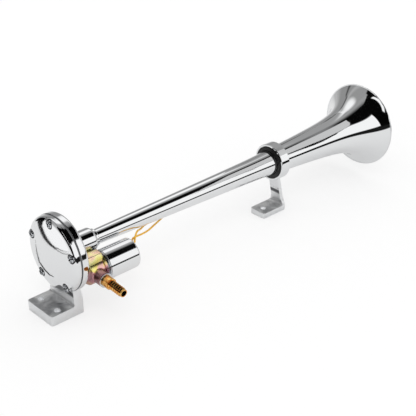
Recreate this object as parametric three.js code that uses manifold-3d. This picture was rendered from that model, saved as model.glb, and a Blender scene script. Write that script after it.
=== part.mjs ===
// An air horn with one long trumpet: a diaphragm head cast in one with its mounting foot, a solenoid
// valve with a hose barb beside it, and a clamp ring with a second foot near the bell.
// Millimetres, +Z up. The origin is the middle of the rear foot's underside. +X points to the bell.
import * as THREE from 'three';
import { mergeVertices } from 'three/addons/utils/BufferGeometryUtils.js';
import Module from 'manifold-3d';

const wasm = await Module();
wasm.setup();

// Whole horn
const overallLength = 430; // crown of the rear cover to the bell rim
const axisHeight = 59; // trumpet axis above the mounting face
const seatGap = 0.3; // clearance where one piece seats on another
const overrun = 1; // how far a cutter passes the face that it opens
const largeSides = 36;
const mediumSides = 20;
const smallSides = 12;
const hexSides = 6;
const barbSides = 16;
const arcSteps = 3;

// Rear foot, cast in one with the housing
const footLength = 36;
const footWidth = 39;
const footThickness = 10;
const footCorner = 2.5;
const footReach = 17.4; // free end of the foot to the crown of the cover
const footHoleRadius = 3.25;
const footHoleSpacing = 26;
const footHoleInset = 10.5; // hole centre to the free end
const wallTopWidth = 35.4;
const wallTopDrop = 30; // top of the wall below the trumpet axis
const wallTopSetback = 2.6; // how far the wall's rear face leans in towards its top
const wallFillet = 1.5;

// Rear cover
const coverRadius = 36.9;
const coverDepth = 6.5;
const coverDomeRise = 0.5;
const coverEdgeRadius = 3.8;
const coverWall = 2.3;
const coverLipInner = 24;
const rebateDepth = 0.7; // the step in the cover's back that holds the diaphragm
const screwCount = 5;
const screwPitchRadius = 31.9;
const screwSinkDepth = 2;

// Cover screws
const screwHeadRadius = 3.9;
const screwHeadHeight = 2.5;
const screwHeadSide = 1; // straight part of the head's side
const screwShankRadius = 1.9;
const screwLength = 11;
const crossWidth = 1;
const crossReach = 2.3;
const crossDepth = 1.3;

// Gasket and diaphragm
const gasketThickness = 0.8;
const gasketInner = 25;
const gasketOuter = 36.6;
const diaphragmRadius = 28.5;
const diaphragmThickness = 0.4;

// Housing
const flangeRadius = 37.5;
const flangeRim = 4.1; // straight rim before the back curves in
const backFillet = 3;
const backConeDepth = 2;
const backConeRadius = 20;
const collarFillet = 3;
const collarRadius = 11.5;
const collarEnd = 37.2; // housing face to the end of the collar
const collarEdge = 3.2;
const chamberInner = 12.5;
const chamberOuter = 26.5;
const chamberDepth = 4.6;

// Sound nozzle, whose lip the diaphragm covers
const nozzleLipRadius = 10.5;
const nozzleLipThickness = 1.5;
const nozzleBore = 4.5;
const nozzleLength = 17.8;

// Trumpet
const shankRadius = 7.2;
const trumpetWall = 1.1;
const tubeTaper = 0.0224; // growth of the radius along the tube
const bellTaper = 0.0634; // and along the bell's body
const taperChange = 256; // distance of the change of taper from the origin
const taperBlend = 8;
const bellRadius = 47.6;
const flareLength = 18.7; // length in which the flare grows by a factor of e
const flareSpan = 112; // part of the bell that is drawn in close steps
const flareSteps = 9;
const rimBead = 0.8;
const ferruleLength = 2.5;
const ferruleRadius = 8.9;

// Solenoid valve, its axis parallel to the trumpet's
const valveSide = 19.2; // to the right of the trumpet axis
const valveDrop = 18.4; // below the trumpet axis
const portRise = 10.6; // outlet port above the valve axis
const portBossRadius = 8;
const portBossLength = 12.7; // housing face to the end of the boss
const portBoreRadius = 5.1;
const portSealThickness = 0.7;
const portSealRadius = 7.4;
const spigotLength = 8;
const outletBore = 2.6;
const hexAcrossFlats = 13;
const hexTurn = 8 * (Math.PI / 180); // how far a corner lies above the horizontal
const coreRadius = 12.3;
const coreLength = 14.7;
const coreChamfer = 1.2;
const valveFlangeRadius = 13.6;
const valveFlangeThickness = 2.6;
const bodyChamberRadius = 6;
const bodyChamberDepth = 5;
const seatRadius = 3.1;
const seatHeight = 2.4;
const airBore = 2;
const slotWidth = 4;
const slotDepth = 3.6;
const slotTop = 10.9;
const barbOffset = 7.4; // start of the valve body to the barb's axis
const sideBossRadius = 7.1;
const sideBossReach = 20.6;
const sideBossTilt = 3.6 * (Math.PI / 180); // how far the side boss and the barb point below level
const sideThreadRadius = 4.4;
const sideThreadDepth = 12;

// Hose barb and its washer
const barbWasherThickness = 0.8;
const barbWasherRadius = 7.1;
const barbBaseRadius = 5.5;
const barbBaseLength = 7;
const barbSpigotLength = 9;
const barbBore = 2.8;
const barbRibs = 6;
const barbRibPitch = 2.7;
const barbRibRadius = 4.4;
const barbRootRadius = 3.7;
const barbTipRadius = 3.8;
const barbTipLength = 1.4;

// Solenoid
const yokeThickness = 0.9;
const yokeRadius = 14.5;
const canRadius = 14.8;
const canLength = 34;
const canWall = 0.8;
const canEdge = 2.2;
const tubeFlangeThickness = 0.6;
const tubeFlangeRadius = 13.2;
const tubeInner = 4.05;
const guideWall = 0.6;
const guideLength = 26;
const ringRadius = 12;
const ringThickness = 0.6; // half the width of the chamber's sealing ring
const bobbinFlange = 1.2;
const bobbinWall = 0.9;
const bobbinRadius = 13.2;
const windingRadius = 12.8;
const plungerRadius = 3.7;
const plungerLength = 19;
const plungerNeck = 7.4;
const plungerNeckRadius = 2.1;
const plungerStroke = 2;
const sealThickness = 1.5;
const springWire = 0.3; // radius of the spring's wire
const springTurns = 6;
const springStepsPerTurn = 8;
const springSides = 5;

// Lead grommet and leads
const grommetRadius = 3.9;
const grommetFlange = 1.4;
const grommetNeck = 2.7;
const grommetSide = 2; // to the left of the valve axis
const grommetRise = 7.7;
const leadRadius = 0.9;
const leadSpacing = 3.8;
const leadSides = 8;
const leadSteps = 22;

// Front bracket and its rubber bush
const ringStart = 279.9; // distance of the ring's near end from the cover's crown
const ringWidth = 11.5;
const ringOuter = 20;
const ringWall = 2;
const bushProud = 0.9;
const frontFootLength = 34.6;
const frontFootWidth = 21;
const frontFootThickness = 6;
const frontFootReach = 15.8; // near end of the front foot to the ring's near end
const frontFootCorner = 3;
const frontHoleRadius = 3.1;
const frontHoleInset = 9.3;
const stemThickness = 4.6;
const stemTopWidth = 12.4;
const stemWaistWidth = 13.4;
const stemFlareHeight = 9;
const stemFillet = 2;

// Places along the horn that follow from the sizes above
const coverCrownX = footReach - footLength / 2;
const bellX = coverCrownX + overallLength;
const coverBackX = coverCrownX + coverDepth;
const gasketX = coverBackX + seatGap;
const housingX = gasketX + gasketThickness + seatGap;
const diaphragmX = coverBackX - rebateDepth + seatGap;
const nozzleX = diaphragmX + diaphragmThickness + seatGap;
const collarX = housingX + collarEnd;
const trumpetX = nozzleX + nozzleLength + seatGap;
const boreRadius = shankRadius + seatGap;
const screwHeadX = coverCrownX + screwSinkDepth - seatGap;
const portSealX = housingX + portBossLength + seatGap;
const valveX = portSealX + portSealThickness + seatGap;
const valveFaceX = valveX + coreLength + valveFlangeThickness;
const guideX = valveFaceX + seatGap;
const yokeX = guideX + tubeFlangeThickness + seatGap;
const canX = yokeX + yokeThickness + seatGap;
const canEndX = canX + canLength;
const seatX = valveFaceX - bodyChamberDepth + seatHeight;
const sealX = seatX + seatGap;
const plungerX = sealX + sealThickness + seatGap;
const plungerEndX = plungerX + plungerLength;
const fixedCoreX = plungerEndX + plungerStroke + seatGap;
const grommetX = canEndX + seatGap;
const leadX = grommetX + grommetFlange + seatGap;
const ringX = coverCrownX + ringStart;
const frontFootX = ringX - frontFootReach;

// Shape helpers

const axisX = new THREE.Vector3(1, 0, 0);
const axisY = new THREE.Vector3(0, 1, 0);
const axisZ = new THREE.Vector3(0, 0, 1);
const quarterTurn = Math.PI / 2;

// The same surface with shared corners and without flat triangles
function welded(geometry) {
  geometry.deleteAttribute('normal');
  geometry.deleteAttribute('uv');
  const merged = mergeVertices(geometry);
  const corners = merged.index.array;
  const kept = [];
  for (let i = 0; i < corners.length; i += 3) {
    const [a, b, c] = corners.slice(i, i + 3);
    if (a !== b && b !== c && c !== a) kept.push(a, b, c);
  }
  merged.setIndex(kept);
  return merged;
}

function solid(geometry) {
  const mesh = welded(geometry);
  return new wasm.Manifold(new wasm.Mesh({
    numProp: 3,
    vertProperties: mesh.attributes.position.array,
    triVerts: Uint32Array.from(mesh.index.array),
  }));
}

function geometryOf(body) {
  const mesh = body.getMesh();
  const geometry = new THREE.BufferGeometry();
  geometry.setAttribute('position', new THREE.BufferAttribute(mesh.vertProperties, 3));
  geometry.setIndex(new THREE.BufferAttribute(mesh.triVerts, 1));
  geometry.computeVertexNormals();
  return geometry;
}

// Joins the first list of geometries and cuts the second list out of them
function joined(added, removed = []) {
  let body = solid(added[0]);
  for (const geometry of added.slice(1)) body = body.add(solid(geometry));
  for (const geometry of removed) body = body.subtract(solid(geometry));
  return geometryOf(body);
}

// What two or more geometries have in common
function common(...geometries) {
  let body = solid(geometries[0]);
  for (const geometry of geometries.slice(1)) body = body.intersect(solid(geometry));
  return geometryOf(body);
}

// A solid turned about the X axis. The section's [x, radius] points run round it, the outside first
// and then the inside, and the section closes on itself or on the axis.
function turned(section, sides = largeSides) {
  const points = section.map(([x, radius]) => new THREE.Vector2(radius, x));
  if (section[0][1] > 0) points.push(points[0].clone());
  return welded(new THREE.LatheGeometry(points, sides).rotateZ(-quarterTurn));
}

// Points on an arc of a section, from one angle to another, in radians from +X towards the outside
function arc(x, radius, size, from, to, steps = arcSteps) {
  const points = [];
  for (let i = 0; i <= steps; i += 1) {
    const angle = from + (to - from) * (i / steps);
    points.push([x + size * Math.cos(angle), radius + size * Math.sin(angle)]);
  }
  return points;
}

// The section of a flat ring, from its two ends along X and its inner and outer radius
function ringSection([from, to], [inner, outer]) {
  return [[from, inner], [from, outer], [to, outer], [to, inner]];
}

// A round bar along X
function bar(radius, from, to, sides = mediumSides) {
  return turned([[from, 0], [from, radius], [to, radius], [to, 0]], sides);
}

// A round bar along Z, for bolt holes
function upright(radius, from, to, sides = mediumSides) {
  return bar(radius, from, to, sides).rotateY(-quarterTurn);
}

// A block between two corners
function block([x0, y0, z0], [x1, y1, z1]) {
  const box = new THREE.BoxGeometry(x1 - x0, y1 - y0, z1 - z0);
  return box.translate((x0 + x1) / 2, (y0 + y1) / 2, (z0 + z1) / 2);
}

function outline(points) {
  return new THREE.Shape(points.map(([u, v]) => new THREE.Vector2(u, v)));
}

// A plate from an outline in x and y, between two heights
function plan(shape, from, to) {
  const options = { depth: to - from, bevelEnabled: false, curveSegments: arcSteps };
  return new THREE.ExtrudeGeometry(shape, options).translate(0, 0, from);
}

// A plate from an outline in y and z, between two places along X
function front(shape, from, to) {
  return plan(shape, from, to).applyMatrix4(new THREE.Matrix4().makeBasis(axisY, axisZ, axisX));
}

// A plate from an outline in x and z, as wide as given, with its middle on the XZ plane
function side(shape, width) {
  const turn = new THREE.Matrix4().makeBasis(axisX, axisZ, axisY.clone().negate());
  return plan(shape, -width / 2, width / 2).applyMatrix4(turn);
}

function roundedRectangle(x0, x1, halfWidth, corner) {
  const shape = new THREE.Shape();
  shape.moveTo(x0 + corner, -halfWidth);
  shape.absarc(x1 - corner, -halfWidth + corner, corner, -quarterTurn, 0);
  shape.absarc(x1 - corner, halfWidth - corner, corner, 0, quarterTurn);
  shape.absarc(x0 + corner, halfWidth - corner, corner, quarterTurn, Math.PI);
  shape.absarc(x0 + corner, -halfWidth + corner, corner, Math.PI, Math.PI + quarterTurn);
  return shape;
}

// Place of each cover screw in the plane across the trumpet axis, the first at the top
function screwPlaces() {
  const places = [];
  for (let i = 0; i < screwCount; i += 1) {
    const angle = quarterTurn + (2 * Math.PI * i) / screwCount;
    places.push([screwPitchRadius * Math.cos(angle), screwPitchRadius * Math.sin(angle)]);
  }
  return places;
}

function atScrews(makeCutter) {
  return screwPlaces().map(([y, z]) => makeCutter().translate(0, y, z));
}

// Clearance holes for the cover screws, through all that lies between two places along X
function screwHoles(from, to) {
  const radius = screwShankRadius + seatGap;
  return atScrews(() => bar(radius, from - overrun, to + overrun, smallSides));
}

// Finishes
const zincChrome = { color: 0xd9dbdd, roughness: 0.08, metalness: 1 };
const satinChrome = { color: 0xc4c6c8, roughness: 0.28, metalness: 1 };
const yellowZinc = { color: 0xd8b46a, roughness: 0.25, metalness: 1 };
const barbBrass = { color: 0xc98a3a, roughness: 0.25, metalness: 1 };
const plainSteel = { color: 0x9da0a3, roughness: 0.35, metalness: 1 };
const copperWire = { color: 0xb4602f, roughness: 0.4, metalness: 1 };
const blackRubber = { color: 0x151516, roughness: 0.75, metalness: 0 };
const gasketFibre = { color: 0x4a4a48, roughness: 0.8, metalness: 0 };
const whiteNylon = { color: 0xe4e1d8, roughness: 0.5, metalness: 0 };
const leadYellow = { color: 0xd79a1e, roughness: 0.45, metalness: 0 };

function piece(name, geometry, finish) {
  const mesh = new THREE.Mesh(geometry, new THREE.MeshStandardMaterial(finish));
  mesh.name = name;
  return mesh;
}

// Diaphragm head

function rearCover() {
  const edgeX = coverCrownX + coverDomeRise;
  const faceRadius = coverRadius - coverEdgeRadius;
  const edge = arc(edgeX + coverEdgeRadius, faceRadius, coverEdgeRadius, Math.PI, quarterTurn);
  const domeStep = faceRadius / arcSteps;
  const dome = [];
  for (let i = 0; i < arcSteps; i += 1) {
    dome.push([coverCrownX + coverDomeRise * (i / arcSteps) ** 2, i * domeStep]);
  }
  const rebateX = coverBackX - rebateDepth;
  const hollowX = coverCrownX + coverWall;
  const back = [
    [coverBackX, coverRadius],
    [coverBackX, diaphragmRadius + seatGap],
    [rebateX, diaphragmRadius + seatGap],
    [rebateX, coverLipInner],
    [hollowX, coverLipInner - coverWall],
    [hollowX, 0],
  ];
  const sinkX = coverCrownX + screwSinkDepth;
  const sinks = atScrews(() => bar(screwHeadRadius + 2 * seatGap, coverCrownX - overrun, sinkX));
  const holes = screwHoles(sinkX, coverBackX);
  const body = joined([turned([...dome, ...edge, ...back])], [...sinks, ...holes]);
  return piece('rear_cover', body, zincChrome);
}

function coverScrew(number, y, z) {
  const crownX = -screwHeadHeight;
  const crown = [
    [crownX, 0],
    [crownX, screwHeadRadius / 2],
    [(crownX - screwHeadSide) / 2, screwHeadRadius * Math.sin(Math.PI / 3)],
    [-screwHeadSide, screwHeadRadius],
    [0, screwHeadRadius],
    [0, screwShankRadius],
    [screwLength, screwShankRadius],
    [screwLength, 0],
  ];
  const slotX = crownX + crossDepth;
  const slots = [
    block([crownX - overrun, -crossReach, -crossWidth / 2], [slotX, crossReach, crossWidth / 2]),
    block([crownX - overrun, -crossWidth / 2, -crossReach], [slotX, crossWidth / 2, crossReach]),
  ];
  const screw = piece(`cover_screw_${number}`, joined([turned(crown, smallSides)], slots), plainSteel);
  screw.position.set(screwHeadX, y, z);
  return screw;
}

function coverGasket() {
  const ends = [gasketX, gasketX + gasketThickness];
  const flatRing = turned(ringSection(ends, [gasketInner, gasketOuter]));
  return piece('cover_gasket', joined([flatRing], screwHoles(...ends)), gasketFibre);
}

function diaphragm() {
  const disc = bar(diaphragmRadius, diaphragmX, diaphragmX + diaphragmThickness, largeSides);
  return piece('diaphragm', disc, plainSteel);
}

function soundNozzle() {
  const shoulderX = nozzleX + nozzleLipThickness;
  const endX = nozzleX + nozzleLength;
  const section = [
    [nozzleX, nozzleBore],
    [nozzleX, nozzleLipRadius],
    [shoulderX, nozzleLipRadius],
    [shoulderX, shankRadius],
    [endX, shankRadius],
    [endX, nozzleBore],
  ];
  return piece('sound_nozzle', turned(section, mediumSides), barbBrass);
}

// Foot and wall below the housing, with z from the trumpet axis
function footAndWall() {
  const half = footLength / 2;
  const baseZ = -axisHeight;
  const topZ = baseZ + footThickness;
  const wallTopZ = -wallTopDrop;
  const profile = outline([
    [-half, baseZ],
    [half, baseZ],
    [half, topZ],
    [half - wallTopSetback, wallTopZ],
    [housingX, wallTopZ],
    [housingX, topZ + wallFillet],
    [housingX - wallFillet, topZ],
    [-half, topZ],
  ]);
  const face = outline([
    [-footWidth / 2, baseZ],
    [footWidth / 2, baseZ],
    [footWidth / 2, topZ],
    [wallTopWidth / 2, wallTopZ],
    [-wallTopWidth / 2, wallTopZ],
    [-footWidth / 2, topZ],
  ]);
  const plate = roundedRectangle(-half, half, footWidth / 2, footCorner);
  return common(
    side(profile, footWidth + overrun),
    front(face, -half - overrun, half + overrun),
    plan(plate, baseZ, wallTopZ),
  );
}

function hornHousing() {
  const rimEndX = housingX + flangeRim;
  const coneX = rimEndX + backFillet;
  const neckX = coneX + backConeDepth;
  const shell = [
    [housingX, 0],
    [housingX, flangeRadius],
    [rimEndX, flangeRadius],
    ...arc(rimEndX, flangeRadius - backFillet, backFillet, quarterTurn, 0).slice(1),
    [neckX, backConeRadius],
    [neckX + collarFillet / 2, collarRadius + collarFillet / 2],
    [neckX + 2 * collarFillet, collarRadius],
    [collarX - collarEdge, collarRadius],
    ...arc(collarX - collarEdge, collarRadius - collarEdge, collarEdge, quarterTurn, 0).slice(1),
    [collarX, 0],
  ];
  const portBoss = bar(portBossRadius, coneX - overrun, portSealX - seatGap);
  portBoss.translate(0, -valveSide, portRise - valveDrop);
  const chamberX = housingX + chamberDepth;
  const chamber = turned(ringSection([housingX - overrun, chamberX], [chamberInner, chamberOuter]));
  const lipSeatX = nozzleX + nozzleLipThickness + seatGap;
  const centre = bar(chamberInner + overrun, housingX - overrun, lipSeatX);
  const bore = bar(boreRadius, housingX - overrun, collarX + overrun);
  const port = bar(portBoreRadius, chamberX - overrun, portSealX + overrun);
  port.translate(0, -valveSide, portRise - valveDrop);
  const threads = screwHoles(housingX, screwHeadX + screwLength + seatGap - overrun);
  const boltHoles = [-1, 1].map((sign) => {
    const hole = upright(footHoleRadius, -axisHeight - overrun, footThickness - axisHeight + overrun);
    return hole.translate(footHoleInset - footLength / 2, (sign * footHoleSpacing) / 2, 0);
  });
  const body = joined(
    [turned(shell), portBoss, footAndWall()],
    [chamber, centre, bore, port, ...threads, ...boltHoles],
  );
  return piece('horn_housing', body, satinChrome);
}

// Trumpet

// Outer radius of the trumpet at a place along the horn: a slow taper along the tube, a faster one
// along the bell's body with a soft change between them, and a flare that grows like a power of e.
function trumpetRadius(x) {
  const along = Math.max(x - collarX, 0);
  const change = Math.log(1 + Math.exp((x - taperChange) / taperBlend)) * taperBlend;
  const tapered = shankRadius + tubeTaper * along + (bellTaper - tubeTaper) * change;
  const bellChange = bellX - taperChange;
  const bellTapered = shankRadius + tubeTaper * (bellX - collarX) + (bellTaper - tubeTaper) * bellChange;
  return tapered + (bellRadius - bellTapered) * Math.exp((x - bellX) / flareLength);
}

// Places of the drawn rings, wide apart on the straight tube and close together at the rim
function trumpetStations() {
  const flareX = bellX - flareSpan;
  const blendReach = 2 * taperBlend;
  const stations = [trumpetX, collarX, taperChange - blendReach, taperChange, taperChange + blendReach];
  for (let i = 0; i <= flareSteps; i += 1) {
    const left = 1 - i / flareSteps;
    stations.push(bellX - (bellX - flareX) * left * left);
  }
  return stations;
}

function trumpet() {
  const stations = trumpetStations();
  const rimX = bellX - rimBead;
  const outside = stations.slice(0, -1).map((x) => [x, trumpetRadius(x)]);
  const inside = stations.slice(0, -1).map((x) => [x, trumpetRadius(x) - trumpetWall]).reverse();
  const beadRadius = bellRadius - rimBead;
  const bead = arc(rimX, beadRadius, rimBead, Math.PI - quarterTurn / 2, -quarterTurn, arcSteps + 1);
  return piece('trumpet', turned([...outside, ...bead, ...inside]), zincChrome);
}

function trumpetFerrule() {
  const startX = collarX + seatGap;
  const endX = startX + ferruleLength;
  const bore = trumpetRadius(endX) + seatGap;
  const edge = (ferruleRadius - bore) / 2;
  const section = [
    [startX, bore],
    [startX, ferruleRadius],
    [endX - edge, ferruleRadius],
    [endX, ferruleRadius - edge],
    [endX, bore],
  ];
  return piece('trumpet_ferrule', turned(section, mediumSides), zincChrome);
}

// Solenoid valve, with y and z from the valve axis

function portSeal() {
  const ends = [portSealX, portSealX + portSealThickness];
  const section = ringSection(ends, [portBoreRadius, portSealRadius]);
  const seal = piece('port_seal', turned(section, mediumSides), gasketFibre);
  seal.position.z = portRise;
  return seal;
}

// Turns a bar along X to the side, where the side boss points, and sets it at the barb's place
function sideways(geometry) {
  return geometry.rotateZ(-quarterTurn).rotateX(sideBossTilt).translate(valveX + barbOffset, 0, 0);
}

function valveBody() {
  const coreEndX = valveX + coreLength;
  const barbX = valveX + barbOffset;
  const spigotX = valveX - spigotLength;
  const core = turned([
    [valveX, 0],
    [valveX, coreRadius - coreChamfer],
    [valveX + coreChamfer, coreRadius],
    [coreEndX, coreRadius],
    [coreEndX, valveFlangeRadius],
    [valveFaceX, valveFlangeRadius],
    [valveFaceX, 0],
  ]);
  const hexRadius = hexAcrossFlats / 2 / Math.cos(Math.PI / hexSides);
  const hexEnds = [valveX, coreEndX + valveFlangeThickness / 2];
  const hexagon = bar(hexRadius, ...hexEnds, hexSides).rotateX(hexTurn);
  hexagon.translate(0, 0, portRise);
  const spigot = bar(portBoreRadius - seatGap, spigotX, valveX + overrun).translate(0, 0, portRise);
  const sideBoss = sideways(bar(sideBossRadius, 0, sideBossReach));
  const chamberX = valveFaceX - bodyChamberDepth;
  const chamber = turned([
    [chamberX, seatRadius],
    [chamberX, bodyChamberRadius],
    [valveFaceX + overrun, bodyChamberRadius],
    [valveFaceX + overrun, 0],
    [seatX, 0],
    [seatX, seatRadius],
  ], mediumSides);
  const outlet = bar(outletBore, spigotX - overrun, coreEndX).translate(0, 0, portRise);
  const slot = block(
    [valveFaceX - slotDepth, -slotWidth / 2, 0],
    [valveFaceX + overrun, slotWidth / 2, slotTop],
  );
  const slotKeep = bar(bodyChamberRadius - overrun, valveFaceX - slotDepth - overrun, seatX, mediumSides);
  const slotCut = joined([slot], [slotKeep]);
  const inlet = sideways(bar(airBore, 0, sideBossReach + overrun));
  const seatBore = bar(airBore, barbX, seatX + overrun);
  const thread = sideways(bar(sideThreadRadius, sideBossReach - sideThreadDepth, sideBossReach + overrun));
  const grooveEnds = [valveFaceX - 2 * ringThickness, valveFaceX + overrun];
  const grooveHalf = ringThickness + seatGap;
  const groove = turned(ringSection(grooveEnds, [ringRadius - grooveHalf, ringRadius + grooveHalf]));
  const body = joined(
    [core, hexagon, spigot, sideBoss],
    [chamber, outlet, slotCut, inlet, seatBore, thread, groove],
  );
  return piece('valve_body', body, yellowZinc);
}

function chamberRing() {
  const ends = [valveFaceX - 2 * ringThickness + seatGap, valveFaceX];
  const section = ringSection(ends, [ringRadius - ringThickness, ringRadius + ringThickness]);
  return piece('chamber_ring', turned(section, mediumSides), blackRubber);
}

// The barb and its washer lie along their own axis, so they are turned from X to the side boss's line
function aside(mesh) {
  mesh.position.x = valveX + barbOffset;
  mesh.rotation.set(sideBossTilt, 0, -quarterTurn);
  return mesh;
}

function barbWasher() {
  const ends = [sideBossReach + seatGap, sideBossReach + seatGap + barbWasherThickness];
  const section = ringSection(ends, [sideThreadRadius, barbWasherRadius]);
  return aside(piece('barb_washer', turned(section, mediumSides), plainSteel));
}

function hoseBarb() {
  const baseX = sideBossReach + barbWasherThickness + 2 * seatGap;
  const ribX = baseX + barbBaseLength;
  const spigotRadius = sideThreadRadius - seatGap;
  const outside = [
    [sideBossReach - barbSpigotLength, spigotRadius],
    [baseX, spigotRadius],
    [baseX, barbBaseRadius],
    [ribX, barbBaseRadius],
  ];
  for (let i = 0; i < barbRibs; i += 1) {
    const start = ribX + i * barbRibPitch;
    outside.push([start, barbRootRadius], [start + barbRibPitch / 4, barbRibRadius]);
    outside.push([start + barbRibPitch / 2, barbRibRadius]);
  }
  const tipX = ribX + barbRibs * barbRibPitch;
  outside.push([tipX, barbTipRadius], [tipX + barbTipLength, barbTipRadius]);
  const bore = [[tipX + barbTipLength, barbBore], [sideBossReach - barbSpigotLength, barbBore]];
  return aside(piece('hose_barb', turned([...outside, ...bore], barbSides), barbBrass));
}

function guideTube() {
  const inner = tubeInner;
  const outer = tubeInner + guideWall;
  const flangeEndX = guideX + tubeFlangeThickness;
  const section = [
    [guideX, inner],
    [guideX, tubeFlangeRadius],
    [flangeEndX, tubeFlangeRadius],
    [flangeEndX, outer],
    [guideX + guideLength, outer],
    [guideX + guideLength, inner],
  ];
  return piece('guide_tube', turned(section, mediumSides), plainSteel);
}

function yokePlate() {
  const inner = tubeInner + guideWall + seatGap;
  const section = ringSection([yokeX, yokeX + yokeThickness], [inner, yokeRadius]);
  return piece('yoke_plate', turned(section), plainSteel);
}

function solenoidCan() {
  const innerEndX = canEndX - canWall;
  const section = [
    [canX, canRadius],
    [canEndX - canEdge, canRadius],
    ...arc(canEndX - canEdge, canRadius - canEdge, canEdge, quarterTurn, 0).slice(1),
    [canEndX, 0],
    [innerEndX, 0],
    [innerEndX, canRadius - canEdge],
    [innerEndX - canEdge + canWall, canRadius - canWall],
    [canX, canRadius - canWall],
  ];
  const hole = bar(grommetNeck + seatGap, innerEndX - overrun, canEndX + overrun);
  hole.translate(0, grommetSide, grommetRise);
  return piece('solenoid_can', joined([turned(section)], [hole]), zincChrome);
}

// Ends of the bobbin inside the can
function bobbinEnds() {
  return [canX, canEndX - canWall - grommetFlange - seatGap];
}

function coilBobbin() {
  const [startX, endX] = bobbinEnds();
  const inner = tubeInner + guideWall + seatGap;
  const outer = inner + bobbinWall;
  const section = [
    [startX, inner],
    [startX, bobbinRadius],
    [startX + bobbinFlange, bobbinRadius],
    [startX + bobbinFlange, outer],
    [endX - bobbinFlange, outer],
    [endX - bobbinFlange, bobbinRadius - canEdge],
    [endX, bobbinRadius - canEdge],
    [endX, inner],
  ];
  return piece('coil_bobbin', turned(section, mediumSides), whiteNylon);
}

function coilWinding() {
  const [startX, endX] = bobbinEnds();
  const inner = tubeInner + guideWall + bobbinWall + 2 * seatGap;
  const ends = [startX + bobbinFlange + seatGap, endX - bobbinFlange - seatGap];
  const section = ringSection(ends, [inner, windingRadius - canEdge]);
  return piece('coil_winding', turned(section, mediumSides), copperWire);
}

function fixedCore() {
  return piece('fixed_core', bar(plungerRadius, fixedCoreX, canEndX - canWall - seatGap), plainSteel);
}

function plunger() {
  const neckX = plungerEndX - plungerNeck;
  const section = [
    [plungerX, 0],
    [plungerX, plungerRadius],
    [neckX, plungerRadius],
    [neckX, plungerNeckRadius],
    [plungerEndX, plungerNeckRadius],
    [plungerEndX, 0],
  ];
  return piece('plunger', turned(section, mediumSides), plainSteel);
}

function plungerSeal() {
  return piece('plunger_seal', bar(seatRadius, sealX, sealX + sealThickness), blackRubber);
}

// The centre line of the return spring, a helix round the plunger's neck
class SpringPath extends THREE.Curve {
  getPoint(share, target = new THREE.Vector3()) {
    const radius = plungerNeckRadius + seatGap + springWire;
    const startX = plungerEndX - plungerNeck + seatGap + springWire;
    const endX = fixedCoreX - seatGap - springWire;
    const angle = 2 * Math.PI * springTurns * share;
    return target.set(startX + (endX - startX) * share, radius * Math.cos(angle), radius * Math.sin(angle));
  }
}

function polygon(radius, sides) {
  const points = [];
  for (let i = 0; i < sides; i += 1) {
    const angle = (2 * Math.PI * i) / sides;
    points.push([radius * Math.cos(angle), radius * Math.sin(angle)]);
  }
  return outline(points);
}

function alongPath(path, radius, sides, steps) {
  return welded(new THREE.ExtrudeGeometry(polygon(radius, sides), { extrudePath: path, steps }));
}

function plungerSpring() {
  const steps = springTurns * springStepsPerTurn;
  return piece('plunger_spring', alongPath(new SpringPath(), springWire, springSides, steps), plainSteel);
}

function leadGrommet() {
  const innerX = canEndX - canWall - seatGap;
  const section = [
    [innerX - grommetFlange + seatGap, 0],
    [innerX - grommetFlange + seatGap, grommetRadius],
    [innerX, grommetRadius],
    [innerX, grommetNeck],
    [grommetX, grommetNeck],
    [grommetX, grommetRadius],
    [grommetX + grommetFlange, grommetRadius],
    [grommetX + grommetFlange, 0],
  ];
  const grommet = piece('lead_grommet', turned(section, smallSides), blackRubber);
  grommet.position.set(0, grommetSide, grommetRise);
  return grommet;
}

// Leads. Their points are in the horn's own frame: out of the grommet, up, and on below the
// trumpet tube to its far side.
const leadStartY = grommetSide - valveSide;
const leadStartZ = axisHeight - valveDrop + grommetRise;
const leadRoutes = {
  lead_a: [
    [leadX, leadStartY + leadSpacing / 2, leadStartZ],
    [78, leadStartY + leadSpacing / 2, leadStartZ],
    [79.2, -14.9, 49.1],
    [81.6, -14.1, 50.6],
    [86, -12.8, 50],
    [96, -9.5, 47.5],
    [106, -6.3, 46],
    [117, -2.2, 45.9],
    [127, 2, 45.4],
    [137, 5.6, 45.4],
    [150, 7.4, 44.6],
  ],
  lead_b: [
    [leadX, leadStartY - leadSpacing / 2, leadStartZ],
    [78.4, leadStartY - leadSpacing / 2, leadStartZ],
    [79.9, -18.3, 49.1],
    [82, -16.2, 51],
    [86.4, -12.7, 53.2],
    [91.5, -8.9, 52.6],
    [98, -4.6, 50],
    [106.5, 0.1, 48.6],
    [114, 2.6, 47.9],
    [122, 5.6, 48.6],
    [131, 8.4, 50.4],
    [140, 10, 52],
  ],
};

function lead(name) {
  const points = leadRoutes[name].map(([x, y, z]) => new THREE.Vector3(x, y, z));
  const path = new THREE.CatmullRomCurve3(points);
  return piece(name, alongPath(path, leadRadius, leadSides, leadSteps), leadYellow);
}

// Front bracket, with z from the trumpet axis

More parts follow.
